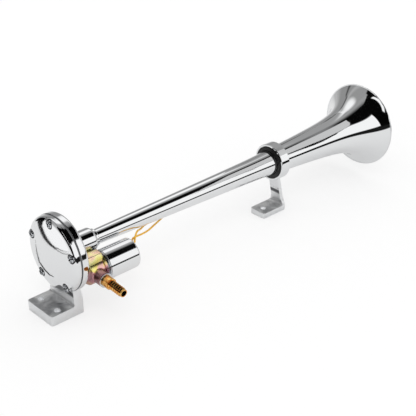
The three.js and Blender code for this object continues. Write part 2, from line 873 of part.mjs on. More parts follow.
function frontBracket() {
  const endX = frontFootX + frontFootLength;
  const baseZ = -axisHeight;
  const topZ = baseZ + frontFootThickness;
  const half = frontFootWidth / 2;
  const stemTopX = ringX + ringWidth - stemThickness;
  const stemTopZ = ringWall - ringOuter;
  const profile = outline([
    [frontFootX, baseZ],
    [endX, baseZ],
    [endX, topZ],
    [stemTopX + stemThickness, stemTopZ],
    [stemTopX, stemTopZ],
    [endX - stemThickness, topZ + stemFillet],
    [endX - stemThickness - stemFillet, topZ],
    [frontFootX, topZ],
  ]);
  const waistZ = topZ + stemFlareHeight;
  const rightEdge = [
    [half, baseZ],
    [half, topZ],
    [(half + stemWaistWidth / 2) / 2, topZ + stemFlareHeight / 4],
    [stemWaistWidth / 2, waistZ],
    [stemTopWidth / 2, stemTopZ],
  ];
  const leftEdge = rightEdge.map(([y, z]) => [-y, z]).reverse();
  const footAndStem = common(
    side(profile, frontFootWidth + overrun),
    front(outline([...rightEdge, ...leftEdge]), frontFootX - overrun, endX + overrun),
    plan(roundedRectangle(frontFootX, endX, half, frontFootCorner), baseZ, stemTopZ),
  );
  const ring = bar(ringOuter, ringX, ringX + ringWidth, largeSides);
  const bore = bar(ringOuter - ringWall, ringX - overrun, ringX + ringWidth + overrun, largeSides);
  const hole = upright(frontHoleRadius, baseZ - overrun, topZ + overrun);
  hole.translate(frontFootX + frontHoleInset, 0, 0);
  return piece('front_bracket', joined([footAndStem, ring], [bore, hole]), satinChrome);
}

function bracketBush() {
  const ends = [ringX - bushProud, ringX + ringWidth + bushProud];
  const outer = ringOuter - ringWall - seatGap;
  const section = [
    [ends[0], trumpetRadius(ends[0]) + seatGap],
    [ends[0], outer],
    [ends[1], outer],
    [ends[1], trumpetRadius(ends[1]) + seatGap],
  ];
  return piece('bracket_bush', turned(section), blackRubber);
}

// Assembly
const horn = new THREE.Group();
const hornAxis = new THREE.Group();
hornAxis.position.z = axisHeight;
hornAxis.add(rearCover(), coverGasket(), diaphragm(), soundNozzle(), hornHousing());
hornAxis.add(...screwPlaces().map(([y, z], i) => coverScrew(i + 1, y, z)));
hornAxis.add(trumpet(), trumpetFerrule(), frontBracket(), bracketBush());

const valveAxis = new THREE.Group();
valveAxis.position.set(0, -valveSide, -valveDrop);
valveAxis.add(portSeal(), valveBody(), chamberRing(), barbWasher(), hoseBarb());
valveAxis.add(guideTube(), yokePlate(), solenoidCan(), coilBobbin(), coilWinding());
valveAxis.add(fixedCore(), plunger(), plungerSeal(), plungerSpring(), leadGrommet());

hornAxis.add(valveAxis);
horn.add(hornAxis, lead('lead_a'), lead('lead_b'));

export default horn;
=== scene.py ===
# %% [markdown]
# # A chromed air horn
#
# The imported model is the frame: it says where every piece is. This lesson dresses it. Each piece is
# a surface worked out with numpy, and each finish is a small tree of shader nodes. Lengths are
# written in millimetres, as on a workshop drawing, and become metres when a mesh is made.

import bmesh
import bpy
import numpy as np
from mathutils import Matrix


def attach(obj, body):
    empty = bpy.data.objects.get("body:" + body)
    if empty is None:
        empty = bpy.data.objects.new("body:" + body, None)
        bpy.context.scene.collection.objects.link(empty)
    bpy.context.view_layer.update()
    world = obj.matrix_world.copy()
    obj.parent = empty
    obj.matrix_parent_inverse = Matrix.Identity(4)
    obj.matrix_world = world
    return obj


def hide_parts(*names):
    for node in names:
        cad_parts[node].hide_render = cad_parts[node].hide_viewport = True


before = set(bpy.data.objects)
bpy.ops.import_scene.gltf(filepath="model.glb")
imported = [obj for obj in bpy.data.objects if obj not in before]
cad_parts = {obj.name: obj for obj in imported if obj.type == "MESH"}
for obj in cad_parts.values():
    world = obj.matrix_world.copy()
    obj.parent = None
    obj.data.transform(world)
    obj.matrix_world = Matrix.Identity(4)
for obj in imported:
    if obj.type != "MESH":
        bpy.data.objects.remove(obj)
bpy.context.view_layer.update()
MM = 0.001

# %% [markdown]
# ## The camera
#
# The horn was seen from its head end, from the right and from above. A camera could be placed by
# hand, but its angles are known from the outlines in the view. So its three directions are worked
# out from azimuth, elevation and roll, and become the columns of its matrix.

# %% Camera
AZIMUTH, ELEVATION, ROLL = np.radians([-43.11, 28.78, 0.27])
TARGET = np.array([190.7, 0.0, 36.6])
DISTANCE = 980.0
LENS = 82.95
SENSOR = 36.0


def view_axes(azimuth, elevation, roll):
    """Right, up and back of a camera: back points from the target to the camera, right is level,
    up is their cross product, and both turn about back by the roll."""
    back = np.array([np.sin(azimuth) * np.cos(elevation),
                     -np.cos(azimuth) * np.cos(elevation),
                     np.sin(elevation)])
    level = np.array([np.cos(azimuth), np.sin(azimuth), 0.0])
    upright = np.cross(back, level)
    right = np.cos(roll) * level + np.sin(roll) * upright
    up = np.cos(roll) * upright - np.sin(roll) * level
    return right, up, back


camera = bpy.data.objects.new("camera", bpy.data.cameras.new("camera"))
camera.data.lens = LENS
camera.data.sensor_width = SENSOR
camera.data.clip_start = 0.01
axes = view_axes(AZIMUTH, ELEVATION, ROLL)
place = np.eye(4)
place[:3, :3] = np.column_stack(axes)
place[:3, 3] = (TARGET + DISTANCE * axes[2]) * MM
camera.matrix_world = Matrix(place.tolist())
bpy.context.scene.collection.objects.link(camera)
bpy.context.scene.camera = camera
print("camera at", np.round(place[:3, 3] / MM, 1).tolist(), "mm")

# %% [markdown]
# ## Nodes and colours
#
# A finish is written as a tree of nodes. Clicking them together is quick, but a script keeps the
# numbers. One function adds a node with its settings, its values and its links, and another turns a
# colour as seen on a screen into the linear light that the shader works with.

# %% Colours
WHITE = (1.0, 1.0, 1.0, 1.0)


def light_of(screen):
    """Linear light of a channel c between 0 and 1: ((c + 0.055) / 1.055) to the power 2.4, or
    c / 12.92 where it is very dark."""
    screen = np.asarray(screen, float)
    return np.where(screen > 0.04045, ((screen + 0.055) / 1.055) ** 2.4, screen / 12.92)


def linear(code):
    """A hex colour in linear light."""
    channels = np.array([int(code[i:i + 2], 16) for i in (1, 3, 5)]) / 255
    return (*light_of(channels).tolist(), 1.0)


def grey(level):
    """Linear light of a grey that shows on screen as the given share of white."""
    return float(light_of(level))


# %% Helpers for finishes
def add(tree, kind, inputs=None, **settings):
    """One node: settings are its properties, inputs are values, or outputs of other nodes to link."""
    node = tree.nodes.new("ShaderNode" + kind)
    for name, value in settings.items():
        setattr(node, name, value)
    for name, value in (inputs or {}).items():
        if isinstance(value, bpy.types.NodeSocket):
            tree.links.new(value, node.inputs[name])
        else:
            node.inputs[name].default_value = value
    return node


def new_finish(name):
    """An empty material, its tree, and its Object coordinates, so that patterns are in metres."""
    material = bpy.data.materials.new(name)
    material.use_nodes = True
    material.node_tree.nodes.clear()
    tree = material.node_tree
    print("finish:", name)
    return material, tree, add(tree, "TexCoord").outputs["Object"]


def show(tree, surface):
    """Sends a shader to the output."""
    add(tree, "OutputMaterial", {"Surface": surface.outputs[0]})


# %% [markdown]
# ## Patterns
#
# No real surface is quite even. Most finishes here wander a little between two colours or between
# two levels of gloss, in clouds as large as those of the real one. A picture of a surface would need
# to be wrapped round each piece, but a noise in space fits any shape.

# %% Patterns
# the noise hardly leaves this span, so these ends bring out the two tones or levels
MIDDLE = (0.3, 0.7)


def mottled(tree, where, size, detail, tones, ends=(0.0, 1.0), distortion=0.0):
    """A colour that wanders between two tones in clouds of a size in mm. The ends are the places in
    the noise's span at which it reaches each tone."""
    cloud = add(tree, "TexNoise", {"Vector": where, "Scale": 1 / (size * MM), "Detail": detail,
                                   "Distortion": distortion})
    tint = add(tree, "ValToRGB", {"Fac": cloud.outputs["Fac"]})
    for stop, place, code in zip(tint.color_ramp.elements, ends, tones):
        stop.position = place
        stop.color = linear(code)
    return tint.outputs["Color"]


def wandering(tree, where, size, detail, levels, ends=(0.0, 1.0), distortion=0.0):
    """A level that wanders between two others in the same way."""
    cloud = add(tree, "TexNoise", {"Vector": where, "Scale": 1 / (size * MM), "Detail": detail,
                                   "Distortion": distortion})
    span = add(tree, "MapRange", {"Value": cloud.outputs["Fac"], "From Min": ends[0], "From Max": ends[1],
                                  "To Min": levels[0], "To Max": levels[1]})
    return span.outputs["Result"]


def mottled_finish(name, size, detail, tones, ends=(0.0, 1.0), **values):
    """A finish whose colour wanders between two tones. The other values go to the shader as they are."""
    material, tree, where = new_finish(name)
    colour = mottled(tree, where, size, detail, tones, ends)
    show(tree, add(tree, "BsdfPrincipled", {"Base Color": colour, **values}))
    return material


def plain_metal(name, code, size, detail, levels, ends=(0.0, 1.0)):
    """A metal of one colour, whose roughness wanders between two levels."""
    material, tree, where = new_finish(name)
    dull = wandering(tree, where, size, detail, levels, ends)
    show(tree, add(tree, "BsdfPrincipled", {"Base Color": linear(code), "Metallic": 1.0, "Roughness": dull}))
    return material


# %% [markdown]
# ## The two leads
#
# Two thin stranded wires in yellow insulation leave the rubber grommet in the end of the can, cross,
# go on under the trumpet and end behind it. They could be meshes, but a curve with a round bevel
# keeps its length and can be measured. Its points are the same as in the CAD, and a smooth curve
# runs through them: a centripetal spline, which makes no loops where points lie close together.

# %% Lead routes: the points of each in mm, and its real length in metres
LEAD_RADIUS = 0.9
LEAD_ROUTES = {
    "lead_a": ([
        (77, -15.3, 48.3), (78, -15.3, 48.3), (79.2, -14.9, 49.1), (81.6, -14.1, 50.6),
        (86, -12.8, 50), (96, -9.5, 47.5), (106, -6.3, 46), (117, -2.2, 45.9),
        (127, 2, 45.4), (137, 5.6, 45.4), (150, 7.4, 44.6)], 0.078),
    "lead_b": ([
        (77, -19.1, 48.3), (78.4, -19.1, 48.3), (79.9, -18.3, 49.1), (82, -16.2, 51),
        (86.4, -12.7, 53.2), (91.5, -8.9, 52.6), (98, -4.6, 50), (106.5, 0.1, 48.6),
        (114, 2.6, 47.9), (122, 5.6, 48.6), (131, 8.4, 50.4), (140, 10, 52)], 0.0728),
}


def smooth_route(points, steps=8):
    """Points on a centripetal spline. Between two points it is a cubic whose end slopes come from
    both neighbours, weighed by the square roots of the distances; the ends are carried straight on."""
    p = np.array(points, float)
    p = np.vstack([2 * p[0] - p[1], p, 2 * p[-1] - p[-2]])
    gap = np.linalg.norm(np.diff(p, axis=0), axis=1)[:, None] ** 0.5
    slope = np.diff(p, axis=0) / gap
    wide = (p[2:] - p[:-2]) / (gap[:-1] + gap[1:])
    tangent = slope[:-1] - wide + slope[1:]
    start, end, reach = p[1:-2], p[2:-1], gap[1:-1]
    t = np.linspace(0, 1, steps, endpoint=False)[:, None, None]
    curve = ((2 * t**3 - 3 * t**2 + 1) * start + (3 * t**2 - 2 * t**3) * end
             + (t**3 - 2 * t**2 + t) * tangent[:-1] * reach + (t**3 - t**2) * tangent[1:] * reach)
    return np.vstack([curve.transpose(1, 0, 2).reshape(-1, 3), p[-2]])


def tube_curve(name, points, radius):
    """A curve of one open spline, rounded to a tube of the given radius."""
    curve = bpy.data.curves.new(name, "CURVE")
    curve.dimensions = "3D"
    curve.bevel_depth = radius * MM
    curve.bevel_resolution = 6
    curve.use_fill_caps = True
    spline = curve.splines.new("POLY")
    spline.points.add(len(points) - 1)
    spline.points.foreach_set("co", np.column_stack([points * MM, np.ones(len(points))]).ravel())
    piece = bpy.data.objects.new(name, curve)
    bpy.context.scene.collection.objects.link(piece)
    return piece


# %% Lead insulation: extruded PVC, dyed through, slightly glossy and a little uneven
insulation = mottled_finish("pvc_insulation", 4, 2.0, ("#e3a51e", "#f6c64a"), MIDDLE,
                            Roughness=0.38, IOR=1.5)

# %% Tinned copper, seen only where the insulation is stripped: dull silvery solder
tinned = plain_metal("tinned_copper", "#b9bab8", 0.6, 3.0, (0.25, 0.5))

# %% Make the leads
STRIPPED = 4.0
STRAND_RADIUS = 0.5
for name, (points, length) in LEAD_ROUTES.items():
    route = smooth_route(points)
    lead = tube_curve(name + "_wire", route, LEAD_RADIUS)
    lead.data.materials.append(insulation)
    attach(lead, "horn")
    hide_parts(name)
    last_step = route[-1] - route[-2]
    onward = last_step / np.linalg.norm(last_step)
    strand_path = route[-1] + onward * np.linspace(-1, STRIPPED, 6)[:, None]
    strand = tube_curve(name + "_strand", strand_path, STRAND_RADIUS)
    strand.data.materials.append(tinned)
    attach(strand, "horn")
    drawn = np.linalg.norm(np.diff(route, axis=0), axis=1).sum()
    print(f"{name}: {drawn:.1f} mm drawn, {length / MM:.1f} mm real")

# %% [markdown]
# ## Turned surfaces
#
# Most of the horn is round: it was spun, turned or drawn about one line. Such a piece is a profile
# carried round a circle. The profile is a row of corners, and each corner has the small radius that
# a real edge has, because an edge without one catches no light.

# %% Rounded profiles
ARC_STEPS = 7
EDGE_HOLD = 0.1


def rounded(corners, closed=True):
    """A profile through corners of (along, radius, edge radius). An arc touches both sides of its
    corner at r / tan(half the corner's angle), and its centre lies at r / sin(half the angle) on
    the bisector. A point just outside each arc keeps the flat next to it flat when it is shaded."""
    corners = np.array(corners, float)
    spots, sizes = corners[:, :2], corners[:, 2]
    before = np.roll(spots, 1, axis=0) - spots
    after = np.roll(spots, -1, axis=0) - spots
    before /= np.linalg.norm(before, axis=1)[:, None]
    after /= np.linalg.norm(after, axis=1)[:, None]
    rows = []
    for spot, size, back, on in zip(spots, sizes, before, after):
        if size == 0:
            rows.append(spot[None])
            continue
        half = np.arccos(np.clip(back @ on, -1, 1)) / 2
        touch = size / np.tan(half)
        centre = spot + (back + on) / np.linalg.norm(back + on) * size / np.sin(half)
        first, last = spot + back * touch - centre, spot + on * touch - centre
        turn = np.pi - 2 * half
        share = np.linspace(0, 1, ARC_STEPS + 1)[:, None]
        bend = (np.sin((1 - share) * turn) * first + np.sin(share * turn) * last) / np.sin(turn)
        hold = touch + EDGE_HOLD
        rows += [(spot + back * hold)[None], centre + bend, (spot + on * hold)[None]]
    profile = np.vstack(rows)
    return np.vstack([profile, profile[:1]]) if closed else profile


# %% Turning a profile round a line
TURNS = 128
TILT = np.radians(3.6)


def tilted(points):
    """Turns points about the X axis by the tilt: y' = y cos - z sin and z' = y sin + z cos."""
    x, y, z = np.moveaxis(points, -1, 0)
    turned_y = y * np.cos(TILT) - z * np.sin(TILT)
    turned_z = y * np.sin(TILT) + z * np.cos(TILT)
    return np.stack([x, turned_y, turned_z], axis=-1)


def turn_profile(profile, centre, count=TURNS, aside=False):
    """A point (a, r) of the profile runs round a circle: x = a, y = r cos t, z = r sin t, from the
    centre line. Turned aside, the line points to -Y and a little down: x = r cos t, y = -a,
    z = r sin t, tilted."""
    t = np.linspace(0, 2 * np.pi, count, endpoint=False)
    a, r = profile[:, :1], profile[:, 1:]
    along = np.repeat(a, count, axis=1)
    if aside:
        points = tilted(np.stack([r * np.cos(t), -along, r * np.sin(t)], axis=-1))
    else:
        points = np.stack([along, r * np.cos(t), r * np.sin(t)], axis=-1)
    return points + np.array(centre, float)


def sheet_faces(rows, columns):
    """Quads of a grid whose columns close on themselves: each joins a point to its neighbour in
    the next column and the same two in the next row."""
    row, column = np.mgrid[0:rows - 1, 0:columns]
    here, beside = row * columns + column, row * columns + (column + 1) % columns
    return np.stack([here, beside, beside + columns, here + columns], axis=-1).reshape(-1, 4)


# %% Making and placing a piece
SHARP_ANGLE = np.radians(32)
MERGE_REACH = 0.0001


def make_piece(name, points, faces):
    """A mesh object from points in mm. Doubles are merged, which closes poles and seams, and then
    the faces are turned outwards."""
    mesh = bpy.data.meshes.new(name)
    corners = faces if isinstance(faces, list) else faces.tolist()
    mesh.from_pydata((np.asarray(points).reshape(-1, 3) * MM).tolist(), [], corners)
    work = bmesh.new()
    work.from_mesh(mesh)
    bmesh.ops.remove_doubles(work, verts=work.verts, dist=MERGE_REACH * MM)
    bmesh.ops.delete(work, geom=[edge for edge in work.edges if not edge.link_faces], context="EDGES")
    bmesh.ops.recalc_face_normals(work, faces=work.faces)
    work.to_mesh(mesh)
    work.free()
    piece = bpy.data.objects.new(name, mesh)
    bpy.context.scene.collection.objects.link(piece)
    return piece


def turned(name, corners, centre, closed=True, count=TURNS, aside=False):
    """A turned piece, from the corners of its profile."""
    profile = rounded(corners, closed)
    points = turn_profile(profile, centre, count, aside)
    return make_piece(name, points, sheet_faces(len(profile), count))


def ring_corners(start, end, bore, radius, edges):
    """A ring's profile from start to end. Its edge radii are in the order inner, outer, outer, inner."""
    spots = [(start, bore), (start, radius), (end, radius), (end, bore)]
    return [(*spot, edge) for spot, edge in zip(spots, edges)]


def place_piece(piece, material, slot, *nodes, body="horn"):
    """Gives a finished piece smooth shading, with a crease wherever two faces meet at more than the
    sharp angle, and its material, its body and the CAD nodes it stands for. The slot is not used."""
    piece.data.shade_smooth()
    piece.data.set_sharp_from_angle(angle=SHARP_ANGLE)
    piece.data.materials.clear()
    piece.data.materials.append(material)
    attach(piece, body)
    if nodes:
        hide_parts(*nodes)
    print(f"{piece.name}: {len(piece.data.polygons)} faces")


def face_centres(piece):
    """The middle of each face of a piece, in mm."""
    flat = np.zeros(len(piece.data.polygons) * 3)
    piece.data.polygons.foreach_get("center", flat)
    return flat.reshape(-1, 3) / MM


def second_finish(piece, material, chosen):
    """Gives the chosen faces of a piece another finish."""
    piece.data.materials.append(material)
    piece.data.polygons.foreach_set("material_index", chosen.astype(np.int32))
    print(f"{piece.name}: {int(chosen.sum())} faces in {material.name}")


# %% [markdown]
# ## Joining and cutting
#
# A casting is several plain bodies run together, with holes drilled afterwards. One surface could be
# worked out for all of it, but it is clearer to do what the pattern maker does: join the bodies,
# then drill. The Boolean modifier does both, and its result replaces the mesh.

# %% Joining, cutting and rounding edges
def fixed(piece):
    """Replaces a piece's mesh by the result of its modifiers."""
    graph = bpy.context.evaluated_depsgraph_get()
    mesh = bpy.data.meshes.new_from_object(piece.evaluated_get(graph))
    piece.modifiers.clear()
    piece.data = mesh


def combine(piece, operation, *others):
    """Joins others to a piece (UNION), cuts them out (DIFFERENCE) or keeps what all share
    (INTERSECT), and throws the others away."""
    for other in others:
        step = piece.modifiers.new(operation, "BOOLEAN")
        step.operation = operation
        step.solver = "EXACT"
        step.object = other
        bpy.context.view_layer.update()
        fixed(piece)
        bpy.data.objects.remove(other)


def soften(piece, width, segments=3):
    """Rounds the edges of a block as casting and polishing do."""
    step = piece.modifiers.new("edges", "BEVEL")
    step.width = width * MM
    step.segments = segments
    step.limit_method = "ANGLE"
    step.angle_limit = SHARP_ANGLE
    bpy.context.view_layer.update()
    fixed(piece)


# %% Bars and blocks to build and cut with
def pin(radius, start, end, centre, direction="x", count=64):
    """A plain round bar, used to cut a hole, from start to end along X, Z or the tilted -Y."""
    corners = [(start, 0, 0), (start, radius, 0), (end, radius, 0), (end, 0, 0)]
    points = turn_profile(rounded(corners, closed=False), (0, 0, 0), count)
    if direction == "z":
        points = points[..., [2, 1, 0]]
    if direction == "-y":
        points = tilted(points[..., [1, 0, 2]] * (1, -1, 1))
    return make_piece("cutter", points + np.array(centre, float), sheet_faces(4, count))


def prism(outline, low, high, across):
    """A block whose outline of (u, v) points is carried from low to high along the axis across:
    u and v are the other two axes in the order x, y, z."""
    outline = np.array(outline, float)
    n = len(outline)
    ends = np.repeat([[low], [high]], n, axis=0)
    both = np.vstack([outline, outline])
    order = {"x": (2, 0, 1), "y": (0, 2, 1), "z": (0, 1, 2)}[across]
    points = np.column_stack([both, ends])[:, order]
    i = np.arange(n)
    sides = np.column_stack([i, (i + 1) % n, (i + 1) % n + n, i + n])
    return make_piece("block", points, sides.tolist() + [i[::-1].tolist(), (i + n).tolist()])


# %% [markdown]
# ## Chrome
#
# The trumpet, the cover and the can are bright chromium over polished nickel. A mirror has almost no
# colour of its own, so it lives from what stands around it. The plating is still not perfect: a
# faint polishing haze makes the reflection softer in some places than in others. Wear and scratches
# could be drawn into it, but a new horn has none, so the finish stays plain and the work goes into
# the room around it.

# %% Bright chrome: pale, slightly cool mirror, softened in patches by polishing haze
HAZE_SIZE = 22
bright_chrome = plain_metal("bright_chrome", "#f2f3f4", HAZE_SIZE, 3.0, (0.03, 0.06), MIDDLE)

# %% Drawn chrome: the deep-drawn can was polished less, so its mirror is softer
drawn_chrome = plain_metal("drawn_chrome", "#f0f1f2", HAZE_SIZE, 3.0, (0.07, 0.1), MIDDLE)

# %% Painted shade for the sink walls and the screw heads: a dark, dull metal that stands in for the shade in these recesses
painted_shade_finish = mottled_finish("painted_sink_shade", 1, 3.0, ("#161617", "#3a3b3d"), Metallic=0.6, Roughness=0.5)

# %% [markdown]
# ## The trumpet
#
# It was spun and drawn from thin brass: a slow taper, a faster one for the bell's body, and a flare
# that grows ever faster towards a rolled rim. The radius is one formula of the place along the horn,
# so the whole surface, outside and inside, is one profile turned about the axis.

# %% Trumpet: its radius
AXIS = (0, 0, 59.0)
TRUMPET_X, COLLAR_X, BODY_X, FLARE_X, BELL_X = 24.3, 44.5, 256, 300, 429.4
TUBE_RADIUS, BELL_RADIUS, WALL, BEAD = 7.2, 47.6, 1.1, 0.55
TUBE_TAPER, BODY_TAPER, BODY_SOFTNESS, FLARE_SPAN = 0.0224, 0.041, 8, 18.7
BELL_TURNS = 224


def tapered(x):
    """The radius without its flare: a taper from the collar on, and a further one that sets in
    softly at the body, as s log(1 + exp((x - body) / s)) does with the softness s."""
    soft_step = np.log1p(np.exp((x - BODY_X) / BODY_SOFTNESS))
    return TUBE_RADIUS + TUBE_TAPER * np.maximum(x - COLLAR_X, 0) + BODY_TAPER * BODY_SOFTNESS * soft_step


def trumpet_radius(x):
    """The outer radius at x, with a flare that falls to a share of 1/e with each flare span from
    the rim."""
    flare = np.exp((x - BELL_X) / FLARE_SPAN)
    return tapered(x) + (BELL_RADIUS - tapered(BELL_X)) * flare


# %% Trumpet: its outside, its rolled rim and its inside are one profile
rim_x = BELL_X - BEAD
share = np.linspace(0, 1, 90)
flare_x = rim_x - (rim_x - FLARE_X) * (1 - share) ** 1.6
stations = np.concatenate([np.linspace(TRUMPET_X, COLLAR_X, 4), np.linspace(49, 240, 20),
                           np.linspace(244, 298, 24), flare_x])
outside = np.column_stack([stations, trumpet_radius(stations)])
inside = np.column_stack([stations, trumpet_radius(stations) - WALL])[::-1]
roll = np.linspace(np.radians(128), np.radians(-110), 14)
bead = np.column_stack([rim_x + BEAD * np.cos(roll), BELL_RADIUS - BEAD + BEAD * np.sin(roll)])
profile = np.vstack([outside[:-2], bead, inside[2:], outside[:1]])
trumpet = make_piece("trumpet_bell", turn_profile(profile, AXIS, BELL_TURNS),
                     sheet_faces(len(profile), BELL_TURNS))
place_piece(trumpet, bright_chrome, "polished_chrome", "trumpet")

# %% Ferrule: the small ring where the tube leaves the collar
CLEARANCE = 0.3
FERRULE_END = 47.3


def bore_round_trumpet(x):
    """The radius of a hole that lets the trumpet through at x."""
    return float(trumpet_radius(np.array(x))) + CLEARANCE


ferrule_bore = bore_round_trumpet(FERRULE_END)
ferrule = turned("ferrule", ring_corners(44.8, FERRULE_END, ferrule_bore, 8.9, (0.15, 0.3, 0.7, 0.15)), AXIS)
place_piece(ferrule, bright_chrome, "polished_chrome", "trumpet_ferrule")

# %% [markdown]
# ## The cover and its screws
#
# The cover is a slightly domed chromed disc with a generous round edge, held by five cross-slot
# screws in sinks. The dome is what bends the reflection in its face, so it is a row of rings and
# not one flat face.

# %% Cover
SCREWS, SCREW_CIRCLE = 5, 31.9
SINK_RADIUS, SINK_DEPTH, SHANK_HOLE = 4.7, 1.4, 2.2
COVER_RADIUS, COVER_EDGE = 36.9, 3.8
DOME_X, EDGE_X = -0.6, -0.1
COVER_TURNS = 192
screw_angles = np.pi / 2 + 2 * np.pi * np.arange(SCREWS) / SCREWS
screw_spots = np.column_stack([SCREW_CIRCLE * np.cos(screw_angles),
                               AXIS[2] + SCREW_CIRCLE * np.sin(screw_angles)])
face_radius = COVER_RADIUS - COVER_EDGE
rings = np.linspace(0, face_radius, 40)
dome = np.column_stack([DOME_X + (EDGE_X - DOME_X) * (rings / face_radius) ** 2, rings])
bend = np.linspace(np.pi, np.pi / 2, 16)[1:]
edge = np.column_stack([EDGE_X + COVER_EDGE + COVER_EDGE * np.cos(bend),
                        face_radius + COVER_EDGE * np.sin(bend)])
back = [(5.8, COVER_RADIUS), (5.9, 36.8), (5.9, 28.8), (5.2, 28.8), (5.2, 24), (1.7, 21.7), (1.7, 0)]
profile = np.vstack([dome, edge, back])
cover = make_piece("cover_disc", turn_profile(profile, AXIS, COVER_TURNS),
                   sheet_faces(len(profile), COVER_TURNS))
sinks = [pin(SINK_RADIUS, -3, SINK_DEPTH, (0, y, z)) for y, z in screw_spots]
shanks = [pin(SHANK_HOLE, 1, 7, (0, y, z), count=32) for y, z in screw_spots]
combine(cover, "DIFFERENCE", *sinks, *shanks)
place_piece(cover, bright_chrome, "polished_chrome", "rear_cover")

# %% Sinks: their walls and floors get the painted shade, up to the edge of the chromed face
centres = face_centres(cover)
reach = np.linalg.norm(centres[:, None, 1:] - screw_spots, axis=-1).min(axis=1)
in_sink = (reach < SINK_RADIUS + 0.05) & (centres[:, 0] > -0.05) & (centres[:, 0] < 5)
second_finish(cover, painted_shade_finish, in_sink)

# %% Bright steel: zinc-flashed screws and washers, a darker and duller mirror than chrome
bright_steel = plain_metal("zinc_flashed_steel", "#d3d6da", 1.5, 4.0, (0.08, 0.24))

# %% Screws: painted shade in the cross slot and round the edge of the head
SCREW_CORNERS = [(-1.4, 0, 0), (-1.4, 2.6, 0.8), (0, 3.9, 0.7), (1.1, 3.9, 0.15), (1.1, 1.9, 0),
                 (12.1, 1.9, 0.4), (12.1, 0, 0)]
SLOT_FLOOR = -0.1
slot_arm = np.array([(-2.5, -0.6), (2.5, -0.6), (2.5, 0.6), (-2.5, 0.6)])
for count, (y, z) in enumerate(screw_spots, 1):
    head = turned(f"screw_{count}", SCREW_CORNERS, (0, y, z), closed=False, count=64)
    turn = np.radians(22 * count)
    spin = np.array([[np.cos(turn), np.sin(turn)], [-np.sin(turn), np.cos(turn)]])
    arms = (slot_arm, slot_arm[:, ::-1])
    combine(head, "DIFFERENCE", *[prism(arm @ spin + (y, z), -3, SLOT_FLOOR, "x") for arm in arms])
    place_piece(head, bright_steel, "bright_steel", f"cover_screw_{count}")
    centres = face_centres(head)
    out = np.hypot(centres[:, 1] - y, centres[:, 2] - z)
    round_head = out > 3.3
    in_slot = (out < 2.9) & (centres[:, 0] > -1.3)
    # painted shade: the rim round the head and the cross slot are dark
    second_finish(head, painted_shade_finish, (centres[:, 0] < 0.2) & (round_head | in_slot))

# %% [markdown]
# ## The housing
#
# One zinc casting carries everything: the shallow head with its round rim, the collar that holds the
# trumpet, the boss to which the valve is screwed, the wall and the foot. The round parts are turned,
# the wall and foot are a block cut from three sides, and they are run together and drilled. The
# colours follow the height and the facing of a surface, where a painted mask would need a layout:
# shade is painted on the tops of the foot and on the upper part of the wall under the head.

# %% Chromed casting: a mirror on the turned head, satin where the polishing wheel didn't reach
cast_chrome, tree, where = new_finish("chromed_casting")
spot = add(tree, "SeparateXYZ", {"Vector": where})
facing = add(tree, "SeparateXYZ", {"Vector": add(tree, "NewGeometry").outputs["Normal"]})
# what each mask reads, its two ends, in metres or as a share of the normal, and its level at each
CAST_MASKS = {
    "low_down": (spot, "Z", 0.031, 0.024, 0.05, 0.36),
    "behind": (spot, "X", 0.0115, 0.014, 0.0, 0.34),
    "before_collar": (spot, "X", 0.019, 0.022, 1.0, 0.0),
    "upward": (facing, "Z", 0.75, 0.98, 0.0, 1.0),
    "near_base": (spot, "Z", 0.0125, 0.0115, 0.0, 1.0),
    "backward": (facing, "X", -0.8, -0.95, 0.0, 1.0),
    "above_foot": (spot, "Z", 0.012, 0.013, 0.0, 1.0),
    "below_head": (spot, "Z", 0.0245, 0.0235, 0.0, 1.0),
    "hollow": (spot, "Z", 0.0185, 0.0205, 0.0, 1.0),
}
mask = {}
for name, (source, axis, start, end, low, high) in CAST_MASKS.items():
    edge_kind = "SMOOTHSTEP" if name == "low_down" else "LINEAR"
    span = add(tree, "MapRange", {"Value": source.outputs[axis], "From Min": start, "From Max": end,
                                  "To Min": low, "To Max": high}, interpolation_type=edge_kind)
    mask[name] = span.outputs["Result"]
for name, first, second, operation in (("back_dull", "behind", "before_collar", "MULTIPLY"),
                                       ("dullest", "low_down", "back_dull", "MAXIMUM"),
                                       ("on_top", "upward", "near_base", "MULTIPLY"),
                                       ("wall_back", "backward", "above_foot", "MULTIPLY"),
                                       ("on_wall", "wall_back", "below_head", "MULTIPLY"),
                                       ("wall_painted_shade", "on_wall", "hollow", "MULTIPLY")):
    mask[name] = add(tree, "Math", {0: mask[first], 1: mask[second]}, operation=operation).outputs[0]

# %% The casting's colours: a cloudy painted shade on the top faces near the base, and a darker painted shade on the upper wall under the head; the back of the wall is also less metallic
uneven = wandering(tree, where, 9, 4.0, (0.8, 1.2), MIDDLE)
rough = add(tree, "Math", {0: uneven, 1: mask["dullest"]}, operation="MULTIPLY")
# painted shade: the top faces near the base are a cloudy, darker grey
top_painted_shade = mottled(tree, where, 16, 3.0, ("#b4b5b7", "#fbfbfb"), (0.36, 0.66), distortion=0.8)
tint = add(tree, "Mix", {0: mask["on_top"], 6: linear("#f3f4f5"), 7: top_painted_shade}, data_type="RGBA")
# painted shade: the upper part of the wall's back, under the head, is darkened to a deep grey
cast_tint = add(tree, "Mix", {0: mask["wall_painted_shade"], 6: tint.outputs[2], 7: linear("#5c5d5f")}, data_type="RGBA")
plated = add(tree, "MapRange", {"Value": mask["on_wall"], "To Min": 1.0, "To Max": 0.55})
GRAIN_SIZE = 1.2
grain = add(tree, "TexNoise", {"Vector": where, "Scale": 1 / (GRAIN_SIZE * MM), "Detail": 3.0})
skin = add(tree, "Bump", {"Height": grain.outputs["Fac"], "Distance": 0.00003, "Strength": 0.3})
casting = add(tree, "BsdfPrincipled", {
    "Base Color": cast_tint.outputs[2], "Metallic": plated.outputs["Result"], "Roughness": rough.outputs[0],
    "Normal": skin.outputs["Normal"]})
show(tree, casting)

